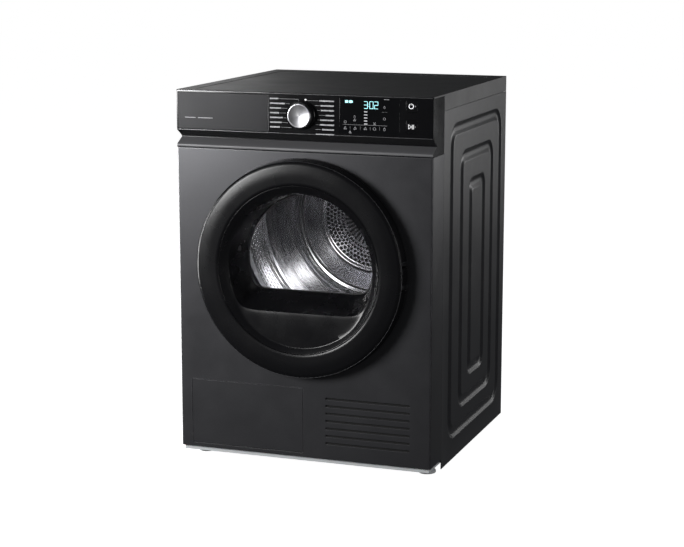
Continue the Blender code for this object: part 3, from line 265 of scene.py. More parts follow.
# ---------------------------------------------------------------- materials
class Surface:
    """One procedural material on the Principled shader, with noise in its roughness and bump."""

    def __init__(self, name, colour, roughness, metallic=0.0, **sockets):
        self.material = bpy.data.materials.new(name)
        self.material.use_nodes = True
        self.tree = self.material.node_tree
        self.shader = self.tree.nodes["Principled BSDF"]
        self.colour = colour
        self.shader.inputs["Base Color"].default_value = (*colour, 1)
        self.shader.inputs["Roughness"].default_value = roughness
        self.shader.inputs["Metallic"].default_value = metallic
        for key, value in sockets.items():
            self.shader.inputs[key.replace("_", " ")].default_value = value
        self.roughness = roughness
        self.place = self.node("ShaderNodeTexCoord").outputs["Object"]
        self.height = None

    def node(self, kind, **values):
        """A new node; in_Some_Input sets an input, and any other key a property."""
        made = self.tree.nodes.new(kind)
        for key, value in values.items():
            if key.startswith("in_"):
                made.inputs[key[3:].replace("_", " ")].default_value = value
            else:
                setattr(made, key, value)
        return made

    def join(self, a, b):
        self.tree.links.new(a, b)

    def noise(self, scale, detail=4.0, stretch=(1, 1, 1), rough=0.55):
        mapping = self.node("ShaderNodeMapping", in_Scale=stretch)
        self.join(self.place, mapping.inputs["Vector"])
        noise = self.node("ShaderNodeTexNoise", in_Scale=scale, in_Detail=detail, in_Roughness=rough)
        self.join(mapping.outputs["Vector"], noise.inputs["Vector"])
        return noise.outputs["Fac"]

    def ranged(self, value, low, high, start=0.3, end=0.7):
        scale = self.node("ShaderNodeMapRange", in_From_Min=start, in_From_Max=end, in_To_Min=low, in_To_Max=high)
        self.join(value, scale.inputs["Value"])
        return scale.outputs["Result"]

    def math(self, operation, a, b=None):
        made = self.node("ShaderNodeMath", operation=operation)
        for socket, value in zip(made.inputs, (a, b)):
            if value is None:
                continue
            if isinstance(value, (int, float)):
                socket.default_value = value
            else:
                self.join(value, socket)
        return made.outputs[0]

    def tint(self, factor, first, second):
        """Base colour run from one to another by a factor; either may be a socket or a colour."""
        mix = self.node("ShaderNodeMix", data_type="RGBA")
        for key, value in (("A", first), ("B", second)):
            if isinstance(value, (tuple, list)):
                mix.inputs[key].default_value = (*value, 1)
            else:
                self.join(value, mix.inputs[key])
        self.join(factor, mix.inputs["Factor"])
        self.join(mix.outputs["Result"], self.shader.inputs["Base Color"])
        return self

    def mottle(self, scale, amount, stretch=(1, 1, 1)):
        """Colour that varies a little over the surface."""
        return self.tint(self.ranged(self.noise(scale, 5.0, stretch), 0.0, 1.0),
                         [c * (1 - amount) for c in self.colour],
                         [min(1, c * (1 + amount)) for c in self.colour])

    def uneven(self, scale, amount, stretch=(1, 1, 1)):
        """Roughness that varies, as polish, finger grease and dust leave it."""
        low, high = max(0.01, self.roughness - amount), self.roughness + amount
        self.join(self.ranged(self.noise(scale, 6.0, stretch), low, high), self.shader.inputs["Roughness"])
        return self

    def grain(self, scale, strength, stretch=(1, 1, 1), distance=0.0002, detail=2.0):
        """Fine relief on top of what is there."""
        bump = self.node("ShaderNodeBump", in_Strength=strength, in_Distance=distance)
        self.join(self.noise(scale, detail, stretch), bump.inputs["Height"])
        if self.height:
            self.join(self.height, bump.inputs["Normal"])
        self.height = bump.outputs["Normal"]
        self.join(self.height, self.shader.inputs["Normal"])
        return self

    def lighter_convex_edges(self, colour, amount=0.5):
        """Lighter colour on convex edges, found from the mesh's pointiness."""
        geometry = self.node("ShaderNodeNewGeometry")
        factor = self.ranged(geometry.outputs["Pointiness"], 0.0, amount, 0.52, 0.60)
        base = self.shader.inputs["Base Color"]
        return self.tint(factor, base.links[0].from_socket if base.is_linked else self.colour, colour)


def paint(name, colour, roughness, metallic=0.0, peel=0.10, **sockets):
    """Sprayed or moulded paint: faint orange peel, flakes and uneven gloss."""
    made = Surface(name, colour, roughness, metallic, **sockets)
    made.mottle(900, 0.10).uneven(14, roughness * 0.10)
    made.grain(700, peel, distance=0.0001).grain(90, peel * 0.5, distance=0.0001)
    return made


graphite = paint("graphite_paint", (0.050, 0.050, 0.054), 0.36, 0.55, 0.06)
cabinet = paint("cabinet_paint", (0.0190, 0.0190, 0.0215), 0.34, 0.0, 0.08).lighter_convex_edges((0.06, 0.06, 0.063))
worktop_skin = Surface("worktop_plastic", (0.0155, 0.0155, 0.0170), 0.42)
worktop_skin.mottle(240, 0.12).uneven(9, 0.05).grain(1600, 0.16).lighter_convex_edges((0.06, 0.06, 0.062))
ring_black = Surface("door_ring_black", (0.0046, 0.0046, 0.0054), 0.27, Specular_IOR_Level=0.28)
ring_black.mottle(300, 0.10).uneven(10, 0.03).grain(500, 0.02)
gloss = Surface("gloss_black", (0.0035, 0.0035, 0.0042), 0.14, Specular_IOR_Level=0.40)
gloss.mottle(200, 0.10).uneven(12, 0.025).grain(240, 0.012)
bowl_black = Surface("door_bowl_black", (0.0048, 0.0048, 0.0056), 0.26, Specular_IOR_Level=0.32)
bowl_black.mottle(260, 0.15).uneven(16, 0.05).grain(420, 0.03)
matte = Surface("matte_black", (0.0100, 0.0100, 0.0110), 0.50)
matte.mottle(120, 0.18).uneven(20, 0.08).grain(1100, 0.20).lighter_convex_edges((0.045, 0.045, 0.047))
lifter_black = Surface("lifter_plastic", (0.14, 0.14, 0.145), 0.30)
lifter_black.mottle(90, 0.12).uneven(24, 0.06).grain(900, 0.10)
zinc = Surface("zinc_steel", (0.47, 0.48, 0.50), 0.40, 1.0)
zinc.mottle(38, 0.14).uneven(60, 0.12).grain(700, 0.10)
pale = Surface("pale_plastic", (0.56, 0.57, 0.58), 0.46, Subsurface_Weight=0.04)
pale.mottle(40, 0.05).uneven(16, 0.06).grain(900, 0.12)
rubber = Surface("rubber", (0.0120, 0.0120, 0.0125), 0.62)
rubber.mottle(160, 0.25).uneven(30, 0.10).grain(1300, 0.30)
felt = Surface("felt", (0.26, 0.245, 0.22), 0.95, Sheen_Weight=0.6, Sheen_Roughness=0.5)
felt.mottle(420, 0.30).grain(2600, 0.9, distance=0.0006).grain(700, 0.5, distance=0.0006)
board = Surface("circuit_board", (0.020, 0.105, 0.045), 0.38, Coat_Weight=0.4)
board.mottle(150, 0.45, (1, 1, 4)).uneven(60, 0.10).grain(500, 0.25)
copper = Surface("copper_fins", (0.62, 0.30, 0.17), 0.34, 1.0)
copper.mottle(60, 0.18).uneven(80, 0.10, (12, 1, 1)).grain(220, 0.4, (30, 1, 1))
aluminium = Surface("aluminium_fins", (0.60, 0.61, 0.62), 0.34, 1.0)
aluminium.mottle(60, 0.08).uneven(80, 0.10, (12, 1, 1)).grain(220, 0.4, (30, 1, 1))
steel = Surface("stainless", (0.58, 0.58, 0.60), 0.16, 1.0)
steel.mottle(24, 0.05, (1, 30, 1)).uneven(30, 0.045, (1, 24, 1)).grain(120, 0.035, (1, 18, 1))


def spun_face_painted_sheen():
    """Aluminium faced on a lathe, with a painted sheen: the base colour runs lighter and darker in wedges about the
    axis.
    """
    made = Surface("spun_aluminium", (0.80, 0.80, 0.815), 0.36, 1.0)
    made.uneven(50, 0.03)
    split = made.node("ShaderNodeSeparateXYZ")
    made.join(made.place, split.inputs[0])
    angle = made.math("ARCTAN2", made.math("SUBTRACT", split.outputs[2], KNOB_Z), split.outputs[0])
    # painted sheen: two opposite wedges are lighter and the two between them darker, in place of the metal's
    # reflections
    painted_sheen_wedge = made.math("COSINE", made.math("MULTIPLY", made.math("SUBTRACT", angle, math.radians(135)), 2.0))
    return made.tint(made.ranged(painted_sheen_wedge, 0.0, 1.0, -0.9, 0.9), (0.21, 0.21, 0.22), (0.44, 0.44, 0.45))


spun_painted_sheen = spun_face_painted_sheen()

glass = Surface("door_glass", (0.010, 0.010, 0.012), 0.03, Alpha=0.20, Coat_Weight=0.5, Coat_Roughness=0.02)
glass.uneven(9, 0.012).grain(30, 0.01)
glass.material.surface_render_method = "BLENDED"

screen = Surface("display_black", (0.0022, 0.0024, 0.0030), 0.07, Coat_Weight=0.7, Coat_Roughness=0.03)
screen.mottle(80, 0.15).uneven(10, 0.015).grain(160, 0.006)
# bright strips that stand for edge highlights: painted highlights
highlight_line_paint = Surface("painted_highlight_line", (0.17, 0.17, 0.175), 0.24, 0.6)
highlight_line_paint.mottle(120, 0.08).uneven(30, 0.04).grain(600, 0.03)
# faint light strips that stand for edge highlights: painted highlights
faint_painted_highlight = Surface("faint_painted_highlight", (0.075, 0.075, 0.080), 0.40, 0.3)
faint_painted_highlight.mottle(120, 0.10).uneven(30, 0.05).grain(600, 0.05)
# a lighter copy of the panel's paint for the groove's lower slope: painted light
slope_painted_light = paint("slope_painted_light", (0.110, 0.110, 0.115), 0.45, 0.20, 0.06)
# near-black paint for holes and slots: painted shade
painted_hole_shade = Surface("hole_shade_paint", (0.0025, 0.0025, 0.0026), 0.85)
painted_hole_shade.mottle(300, 0.3).grain(900, 0.2)


def print_ink(name, colour, glow):
    # the emission makes every mark glow a little: on the display and the programme light that is their own light, on
    # printed marks a painted glow
    made = Surface(name, colour, 0.45, Emission_Strength=glow)
    made.shader.inputs["Emission Color"].default_value = (*colour, 1)
    made.mottle(700, 0.06).uneven(80, 0.05).grain(1500, 0.10)
    return made


white_print = print_ink("white_print", (0.48, 0.48, 0.50), 0.10)
grey_print = print_ink("grey_print", (0.30, 0.30, 0.31), 0.05)
cyan_print = print_ink("cyan_print", (0.45, 0.93, 1.00), 0.9)


# ---------------------------------------------------------------- cabinet: sides, top, back
def side_panel(name, side):
    """The pressed sheet with three nested channels, their shoulders rounded."""
    profile = smooth_path([(-0.003, 0), (0.0010, 0), (0.0085, 0.0050), (0.0185, 0.0050),
                           (0.0285, 0), (0.0320, 0)], (0.0035, 0.0045, 0.0045, 0.0045), 5)
    rings = [(rounded(SIDE_FRONT, BACK, SIDE_LOW, SIDE_HIGH, 0.0015), 0.0)]
    edges = ((0.045, 0.0375, 0.047, 0.0335, 0.055), (0.1265, 0.1085, 0.1035, 0.1015, 0.045),
             (0.2005, 0.1785, 0.1675, 0.1725, 0.030))
    for ahead, behind, below, above, corner in edges:
        for inward, depth in profile:
            rings.append((rounded(SIDE_FRONT + ahead + inward, BACK - behind - inward,
                                  SIDE_LOW + below + inward, SIDE_HIGH - above - inward,
                                  max(corner - inward, 0.010)), depth))
    mesh = pressed_sheet(rings, lambda a, b, depth: Vector((side * (HALF - depth), a, b)))
    show(name + "_look", mesh, cabinet, "cabinet", "cabinet_paint", (name,), sharp=50)


def worktop_piece():
    """A moulded top with a rim, a bead round the panel let into it, and side skirts."""
    top = raw("worktop_look", block((-HALF, FRONT + 0.006, SKIRT_LOW), (HALF, BACK, TOP)))
    carve(top, block((-HALF - 0.01, FRONT - 0.01, SKIRT_LOW - 0.01), (HALF + 0.01, SIDE_FRONT, TOP - 0.004)))
    wall = 0.0045
    carve(top, block((-HALF + wall, SIDE_FRONT - 0.02, SKIRT_LOW - 0.01),
                     (HALF - wall, BACK - wall, TOP - 0.004)))
    inset = (-HALF + 0.033, HALF - 0.033, FRONT + 0.026, BACK - 0.046)
    carve(top, prism(rounded(*inset, 0.012), "z", TOP - 0.0013, TOP + 0.01))
    finish_piece(top, worktop_skin, "cabinet", "worktop_plastic", ("worktop",), edge=0.0009)
    left, right, ahead, behind = inset
    gap = 0.0012
    outline = rounded(left + gap, right - gap, ahead + gap, behind - gap, 0.011)
    show("worktop_panel", prism(outline, "z", TOP - 0.0014, TOP - 0.0006), worktop_skin, "cabinet",
         "worktop_plastic", edge=0.0003)
    # the crease between the skirt and the plate shows as a fine groove on each side
    for side in (-1, 1):
        x = side * (HALF + 0.0001)
        near, far = sorted((x, x - side * 0.0008))
        show(f"skirt_bead_{'left' if side < 0 else 'right'}",
             block((near, SIDE_FRONT + 0.002, SKIRT_LOW + 0.0005), (far, BACK - 0.002, SKIRT_LOW + 0.0022)),
             cabinet, "cabinet", "worktop_plastic", edge=0.0003)


def rear_panel_piece():
    """Galvanised sheet with its raised plate, grille slots, screws, and a hole for the gland."""
    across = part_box("rear_panel")[1].x
    low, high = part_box("rear_panel")[0].z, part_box("rear_panel")[1].z
    surface = BACK - 0.012
    rings = [(rounded(-across, across, low, high, 0.002), 0.0)]
    plate_low = low + 0.170
    for corner, steps in ((0.06, ((0.056, 0), (0.060, -0.0010), (0.066, -0.0070), (0.070, -0.0080))),
                          (0.04, ((0.110, -0.0080), (0.113, -0.0068), (0.125, -0.0068), (0.128, -0.0080)))):
        for inward, raised in steps:
            rings.append((rounded(-across + inward, across - inward, plate_low + inward, high - inward, corner),
                          raised))
    panel = raw("rear_panel_look", pressed_sheet(rings, lambda a, b, depth: Vector((a, surface - depth, b))))
    for i in range(6):
        carve(panel, prism(rounded(0.040 + 0.020 * i, 0.048 + 0.020 * i, 0.075, 0.165, 0.0038), "y",
                           surface - 0.02, surface + 0.02))
    carve(panel, disc(0.0125, (0.24, 0.090), surface - 0.02, surface + 0.02, 48))
    finish_piece(panel, zinc, "cabinet", "zinc_steel", ("rear_panel",), edge=0.0004, parts=2)
    edge = across - 0.014
    places = [(x, z) for x in (-edge, -across * 0.33, across * 0.33, edge) for z in (low + 0.014, high - 0.014)]
    places += [(x, z) for z in (0.22, 0.42, 0.62) for x in (-edge, edge)]
    heads = [screw_head(place, surface) for place in places]
    show("rear_screws", merged(*heads), zinc, "cabinet", "zinc_steel", edge=0.0003, parts=2)


def screw_head(place, surface):
    """A pan head."""
    return turned([(0, surface - 0.0004), (0.0048, surface - 0.0004), (0.0048, surface + 0.0012),
                   (0.0036, surface + 0.0024), (0, surface + 0.0028)], "y", place, 24)


side_panel("left_side_panel", -1)
side_panel("right_side_panel", 1)
worktop_piece()
rear_panel_piece()


# ---------------------------------------------------------------- front panel, flap and feet
def front_panel_piece():
    bend, steps = 0.0042, 10
    turns = [math.radians(90 * i / steps) for i in range(steps + 1)]
    outer = [(HALF - bend + bend * math.sin(t), FRONT + bend - bend * math.cos(t)) for t in turns]
    small = bend - SHEET
    inner = [(HALF - bend + small * math.sin(t), FRONT + bend - small * math.cos(t)) for t in turns]
    right = outer + [(HALF, FASCIA_REAR), (HALF - SHEET, FASCIA_REAR)] + inner[::-1]
    panel = raw("front_panel_look", prism(right + [(-x, y) for x, y in right[::-1]], "z", PANEL_LOW, PANEL_HIGH))
    ahead, behind = FRONT - 0.01, FRONT + 0.012
    carve(panel, disc(HOLE_R, (0, DOOR_Z), ahead, behind))
    low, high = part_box("service_flap")
    carve(panel, plate(low, high, 0.0035, ahead, behind, 0.0008))
    vent_left, vent_right = HALF - 0.247, HALF - 0.048
    vents = [0.063 + 0.0172 * i for i in range(7)]
    slots = [prism(rounded(vent_left, vent_right, z, z + 0.0050, 0.0024), "y", ahead, behind) for z in vents]
    carve(panel, merged(*slots))
    lug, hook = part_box("hinge_bracket")[0].x + 0.0045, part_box("latch_hook")[0].x + 0.0042
    rooms = [block((lug - 0.0040, ahead, DOOR_Z + s * 0.026 - 0.0056),
                   (lug + 0.0040, behind, DOOR_Z + s * 0.026 + 0.0056)) for s in (-1, 1)]
    rooms.append(block((hook - 0.0060, ahead, DOOR_Z - 0.013), (hook + 0.0075, behind, DOOR_Z + 0.013)))
    carve(panel, merged(*rooms))
    finish_piece(panel, graphite, "cabinet", "graphite_paint", ("front_panel",), edge=0.00055, angle=50)
    # louvre blades behind the slots, sloping down and out, in the near-black painted shade so the slots read dark
    near, deep = FRONT + 0.0013, FRONT + 0.0080
    blades = [prism([(near, z - 0.0008), (near, z + 0.0006), (deep, z + 0.0078), (deep, z + 0.0064)],
                    "x", vent_left - 0.001, vent_right + 0.001) for z in vents]
    show("vent_blades", merged(*blades), painted_hole_shade, "cabinet", "matte_black", edge=0.0002)
    # a painted highlight along each slot's lower edge
    slot_highlights = [prism(rounded(vent_left + 0.001, vent_right - 0.001, z - 0.0009, z - 0.0003, 0.0002, 2),
                  "y", FRONT - 0.0002, FRONT + 0.0004) for z in vents]
    show("vent_slot_highlights", merged(*slot_highlights), faint_painted_highlight, "cabinet", "graphite_paint")
    # painted highlights: a fine light line round the flap, and one along the panel's top
    rim = raw("flap_outline_highlight", plate(low, high, 0.0042, FRONT - 0.00015, FRONT + 0.0004, 0.0016))
    carve(rim, plate(low, high, 0.0036, ahead, behind, 0.0009))
    finish_piece(rim, faint_painted_highlight, "cabinet", "graphite_paint")
    line = rounded(-HALF + 0.003, HALF - 0.003, PANEL_HIGH - 0.0016, PANEL_HIGH - 0.0008, 0.0003, 2)
    show("panel_top_highlight", prism(line, "y", FRONT - 0.0002, FRONT + 0.0004), highlight_line_paint, "cabinet", "graphite_paint")


def flap_piece():
    low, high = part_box("service_flap")
    show("service_flap_look", plate(low, high, 0.0027, low.y, high.y), graphite, "flap", "graphite_paint",
         ("service_flap",), edge=0.0005)


def foot_pieces():
    for name in ("front_left", "front_right", "rear_left", "rear_right"):
        node = f"foot_{name}"
        low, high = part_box(node)
        x, y, r = (low.x + high.x) / 2, (low.y + high.y) / 2, (high.x - low.x) / 2
        profile = smooth_path([(0, 0), (r - 0.001, 0), (r, 0.0012), (r, 0.0058), (0.0112, 0.0108),
                               (0.0100, 0.0120), (0.0100, 0.0180), (0.0048, 0.0181)],
                              (0.0008, 0.0008, 0.002, 0.002, 0.001, 0.0004), 3)
        for i in range(22):
            z = 0.0184 + 0.0015 * i
            profile += [(0.0043, z), (0.0050, z + 0.00075)]
        profile += [(0.0045, high.z), (0, high.z)]
        show(node + "_look", turned(profile, "z", (x, y), 48), pale, node, "pale_plastic",
                     (node,))


front_panel_piece()
flap_piece()
foot_pieces()


# ---------------------------------------------------------------- control fascia
DRAWER_LOW, DRAWER_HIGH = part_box("drawer_front")
WINDOW_LOW, WINDOW_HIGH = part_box("display_window")
BUTTONS = {"power_button": "power_key", "start_button": "start_key"}


def fascia_piece():
    """The moulding over the whole width: flat face, handle groove, wrapped ends."""
    lip, deepest = FASCIA_LOW + 0.0075, FACE_LOW - 0.0175
    rim, shelf = TOP - 0.0005, TOP - 0.0044
    line = [(FRONT + 0.0050, rim), (FRONT, rim), (FRONT, FACE_LOW), (FRONT + 0.028, deepest), (FRONT, lip),
            (FRONT, FASCIA_LOW), (FRONT + 0.0010, FASCIA_LOW)]
    front = smooth_path(line, (0.0016, 0.0022, 0.0060, 0.0022, 0.0010), 6)
    outline = front + [(FASCIA_REAR, FASCIA_LOW), (FASCIA_REAR, shelf), (FRONT + 0.0056, shelf),
                       (FRONT + 0.0056, rim)]
    fascia = raw("control_fascia_look", prism(outline, "x", -HALF, HALF))
    wall = 0.003
    skin_y, groove_y, open_y = FRONT + wall, FRONT + 0.028 + wall, FASCIA_REAR + 0.01
    inside = [(skin_y, shelf - wall), (skin_y, FACE_LOW + wall), (groove_y, deepest + wall),
              (groove_y, FASCIA_LOW + wall), (open_y, FASCIA_LOW + wall), (open_y, shelf - wall)]
    carve(fascia, prism(inside, "x", -HALF + wall, HALF - wall))
    ahead = FRONT - 0.01
    behind = FRONT + 0.01
    carve(fascia, block((-HALF + 0.0025, ahead, FACE_LOW + 0.0025),
                        (DRAWER_HIGH.x + 0.0006, behind, TOP - 0.0050)))
    carve(fascia, disc(0.0048, (0, KNOB_Z), ahead, behind, 24))
    for node in BUTTONS:
        carve(fascia, plate(*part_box(node), 0.003, ahead, behind, 0.0004))
    carve(fascia, plate(WINDOW_LOW, WINDOW_HIGH, 0.002, ahead, FRONT + 0.0014, 0.0004))
    # a shallow crease down each end, behind the face
    for side in (-1, 1):
        x = side * HALF
        carve(fascia, block((min(x, x - side * 0.0006) - 0.0001 * (side < 0), FRONT + 0.0432, FASCIA_LOW + 0.001),
                            (max(x, x - side * 0.0006) + 0.0001 * (side > 0), FRONT + 0.0440, shelf - 0.001)))
    finish_piece(fascia, gloss, "cabinet", "gloss_black", ("control_fascia",), edge=0.0007, angle=40)
    # painted highlights: thin bright lines along the face's upper and lower edges
    for name, z in (("upper", TOP - 0.0022), ("lower", FACE_LOW + 0.0009)):
        line = rounded(-HALF + 0.002, HALF - 0.002, z - 0.0005, z + 0.0005, 0.0003, 2)
        show(f"fascia_painted_highlight_{name}", prism(line, "y", FRONT - 0.00015, FRONT + 0.00035), highlight_line_paint, "cabinet",
             "gloss_black", edge=0.0001, parts=2)
    # the lower slope of the groove, down to its lip, in a paint lighter than the panel's: painted light where the
    # fascia above shades it
    slope = (deepest - lip) / 0.028
    rows = [(FRONT + 0.0255, lip + slope * 0.0255), (FRONT + 0.0030, lip + slope * 0.0030),
            (FRONT + 0.0008, lip - 0.0002), (FRONT, lip - 0.0016), (FRONT, FASCIA_LOW + 0.0014)]
    outline = [(y - 0.0002, z + 0.0006) for y, z in rows] + [(y + 0.0006, z - 0.0006) for y, z in reversed(rows)]
    show("groove_slope", prism(outline, "x", -HALF + 0.0002, HALF - 0.0002), slope_painted_light, "cabinet",
                 "gloss_black", edge=0.0002, parts=2)
    # a painted highlight down the drawer's right-hand edge
    line = rounded(DRAWER_HIGH.x + 0.0009, DRAWER_HIGH.x + 0.0017, FACE_LOW + 0.003, TOP - 0.005, 0.0003, 2)
    show("drawer_edge_highlight", prism(line, "y", FRONT - 0.0003, FRONT + 0.0004), highlight_line_paint, "cabinet", "gloss_black",
         edge=0.0001, parts=2)


def drawer_piece():
    """The tank drawer's front with a rounded border and, behind it, the tank."""
    show("drawer_front_look", plate(DRAWER_LOW, DRAWER_HIGH, 0.0012, DRAWER_LOW.y, DRAWER_HIGH.y), drawer_paint,
         "tank_drawer", "graphite_paint", ("drawer_front",), edge=0.0006)
    low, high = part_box("water_tank")
    wall = 0.003
    tank = raw("water_tank_look", plate(low, high, 0.006, low.y, high.y))
    carve(tank, plate(low, high, 0.004, low.y + wall, high.y - wall, -wall))
    carve(tank, prism(rounded(low.x + 0.030, high.x - 0.030, high.y - 0.080, high.y - 0.030, 0.012), "z",
                      high.z - 0.010, high.z + 0.010))
    finish_piece(tank, pale, "tank_drawer", "pale_plastic", ("water_tank",), edge=0.0012)
    ribs = [prism(rounded(low.x + 0.012, high.x - 0.012, y, y + 0.006, 0.003), "z", high.z - 0.0003,
                  high.z + 0.0012) for y in [low.y + 0.060 + 0.035 * i for i in range(8)]]
    show("water_tank_ribs", merged(*ribs), pale, "tank_drawer", "pale_plastic", edge=0.0006)


def bars(name, boxes, ink, body, y, lift=0.00022):
    """Flat printed marks, each a thin rounded tile on a surface that faces the front."""
    tiles = []
    for left, right, low, high in boxes:
        radius = min(right - left, high - low) * 0.3
        tiles.append(prism(rounded(left, right, low, high, radius, 2), "y", y - lift, y + 0.0001))
    show(name, merged(*tiles), ink, body, "gloss_black")


def stroke(points, width):
    """A printed line through points, as one closed outline for each leg."""
    legs = []
    for (x0, z0), (x1, z1) in zip(points, points[1:]):
        along = Vector((x1 - x0, z1 - z0)).normalized()
        across = Vector((-along.y, along.x)) * width / 2
        start, end = Vector((x0, z0)) - along * width * 0.4, Vector((x1, z1)) + along * width * 0.4
        legs.append([tuple(start + across), tuple(start - across), tuple(end - across), tuple(end + across)])
    return legs


def lines(name, outlines, ink, body, y, lift=0.00020):
    tiles = [prism(outline, "y", y - lift, y + 0.0001) for outline in outlines]
    show(name, merged(*tiles), ink, body, "gloss_black")


def arc(x, z, radius, start, end, steps=24):
    return [(x + radius * math.sin(math.radians(start + (end - start) * i / steps)),
             z + radius * math.cos(math.radians(start + (end - start) * i / steps))) for i in range(steps + 1)]


def dashes(x, end, z, shrink=1.0):
    """A row of uneven dashes that stands for a name."""
    row = []
    while x < end:
        step = random.choice((0.0012, 0.0017, 0.0021, 0.0026))
        row.append((x, min(x + step, end), z - shrink * random.uniform(0.0012, 0.0018),
                    z + shrink * random.uniform(0.0013, 0.0019)))
        x += step + random.choice((0.00035, 0.00045, 0.0006))
    return row


def programme_marks():
    """Wordless marks in place of programme names, each with a leader towards the knob."""
    words, leaders, pitch, clear, fine = [], [], 0.0104, 0.0375, 0.0006
    left_rows = (0.0200, 0.0355, 0.0260, 0.0215, 0.0300, 0.0270, 0.0230)
    for i, length in enumerate(left_rows):
        z, end = KNOB_Z + 0.0345 - pitch * i, -0.0750 + length
        words += dashes(-0.0750, end, z)
        reach = math.sqrt(max(0.0, clear ** 2 - (z - KNOB_Z) ** 2))
        if i == 0:
            leaders += stroke([(end + 0.002, z), (-0.0085, z), (-0.0060, z - 0.005)], fine)
        elif end + 0.003 < -reach:
            leaders += stroke([(end + 0.002, z), (max(end + 0.0045, -reach), z)], fine)
    right_rows = (0.0340, 0.0310, 0.0300, 0.0190, 0.0320, 0.0330, 0.0270, 0.0420)
    for i, length in enumerate(right_rows):
        z, start = KNOB_Z + 0.0325 - pitch * i, 0.0745 - length
        words += dashes(start, 0.0745, z, 0.75 if i == 7 else 1.0)
        reach = math.sqrt(max(0.0, clear ** 2 - (z - KNOB_Z) ** 2))
        if i == 0:
            leaders += stroke([(start - 0.002, z), (0.0085, z), (0.0068, z - 0.004)], fine)
        elif i < 7 and start - 0.003 > reach:
            leaders += stroke([(max(reach, start - 0.016), z), (start - 0.002, z)], fine)
    bars("programme_words", words, white_print, "cabinet", FRONT)
    lines("programme_leaders", leaders, grey_print, "cabinet", FRONT)
    turn = math.radians(14)
    x, z = 0.0352 * math.sin(turn), KNOB_Z + 0.0352 * math.cos(turn)
    bars("programme_light", [(x - 0.0020, x + 0.0020, z - 0.0017, z + 0.0017)], bright_print, "cabinet", FRONT,
         0.0004)
    # a small row of marks under the left-hand names, on the drawer
    small, x = [], -0.2800
    while x < -0.2140:
        step = random.choice((0.0010, 0.0014, 0.0018))
        if not -0.2550 < x < -0.2490:
            small.append((x, x + step, KNOB_Z - 0.0148, KNOB_Z - 0.0130))
        x += step + 0.0005
    bars("drawer_marks", small, white_print, "tank_drawer", DRAWER_LOW.y)


SEGMENTS = {"0": "abcdef", "2": "abged", "3": "abgcd"}


def digit(x, z, width, height, shape):
    """Seven-segment digit outlines."""
    t, w, h = 0.0010, width, height
    ends = {"a": ((0, h), (w, h)), "b": ((w, h), (w, h / 2)), "c": ((w, h / 2), (w, 0)), "d": ((0, 0), (w, 0)),
            "e": ((0, 0), (0, h / 2)), "f": ((0, h / 2), (0, h)), "g": ((0, h / 2), (w, h / 2))}
    out = []
    for key in SEGMENTS[shape]:
        (x0, z0), (x1, z1) = ends[key]
        along = Vector((x1 - x0, z1 - z0)).normalized() * t * 0.45
        out += stroke([(x + x0 + along.x, z + z0 + along.y), (x + x1 - along.x, z + z1 - along.y)], t)
    return out


def display_piece():
    """The black window with its clock, symbols and level bars behind the surface."""
    front = WINDOW_LOW.y
    show("display_window_look", plate(WINDOW_LOW, WINDOW_HIGH, 0.0016, front, WINDOW_HIGH.y), screen, "cabinet",
         "gloss_black", ("display_window",), edge=0.00035)
    left, top = WINDOW_LOW.x, WINDOW_HIGH.z
    clock = []
    for x, shape in ((0.0560, "3"), (0.0690, "0"), (0.0800, "2")):
        clock += digit(left + x, top - 0.0215, 0.0078, 0.0150, shape)
    lines("display_clock", clock, cyan_print, "cabinet", front)
    bars("display_colon", [(left + 0.0658, left + 0.0668, top - z, top - z + 0.0012) for z in (0.0120, 0.0172)],
         cyan_print, "cabinet", front)
    bars("display_level", [(left + 0.0560, left + 0.0638, top - 0.0300 - 0.0066 * i, top - 0.0274 - 0.0066 * i)
                           for i in range(5)], white_print, "cabinet", front)
    bars("display_badges", [(left + 0.0125, left + 0.0200, top - 0.0105, top - 0.0050),
                            (left + 0.0222, left + 0.0300, top - 0.0105, top - 0.0050)], cyan_print, "cabinet", front)
    base = top - 0.0580
    bars("display_rule", [(left + 0.0080, left + 0.1090, base + 0.0002, base + 0.0007)] +
         [(left + x, left + x + 0.0005, base - 0.0100, base - 0.0030) for x in (0.0240, 0.0475, 0.0700, 0.0915)],
         grey_print, "cabinet", front)
    symbols = []
    for x in (0.0130, 0.0355, 0.0590, 0.0800, 0.1025):      # lower row of touch symbols
        symbols += symbol(left + x, base - 0.0068, 0.0030, int(x * 1e4) % 4)
    for x, z, kind in ((0.0130, 0.0520, 0), (0.0345, 0.0470, 2), (0.0345, 0.0400, 1), (0.0800, 0.0540, 3),
                       (0.1025, 0.0180, 1), (0.1025, 0.0425, 0), (0.0240, 0.0735, 2)):
        symbols += symbol(left + x, top - z, 0.0026, kind)
    lines("display_symbols", symbols, white_print, "cabinet", front)
    bars("display_notes", [(left + 0.1010, left + 0.1130, top - 0.0018, top - 0.0005),
                           (left + 0.0965, left + 0.1085, top - 0.0283, top - 0.0279)], grey_print, "cabinet", front)


def symbol(x, z, size, kind):
    """Small generic symbols: a ring, a drop, a triangle and a cross."""
    w = 0.0007
    if kind == 0:
        return stroke(arc(x, z, size, 0, 360, 14), w)
    if kind == 1:
        drop = arc(x, z - size * 0.3, size * 0.75, 60, 300, 10)
        return stroke(drop + [(x, z + size), drop[0]], w)
    if kind == 2:
        base = z - size * 0.8
        return stroke([(x - size, base), (x + size, base), (x, z + size), (x - size, base)], w)
    left, right, low, high = x - size, x + size, z - size, z + size
    return stroke([(left, low), (right, high)], w) + stroke([(left, high), (right, low)], w)


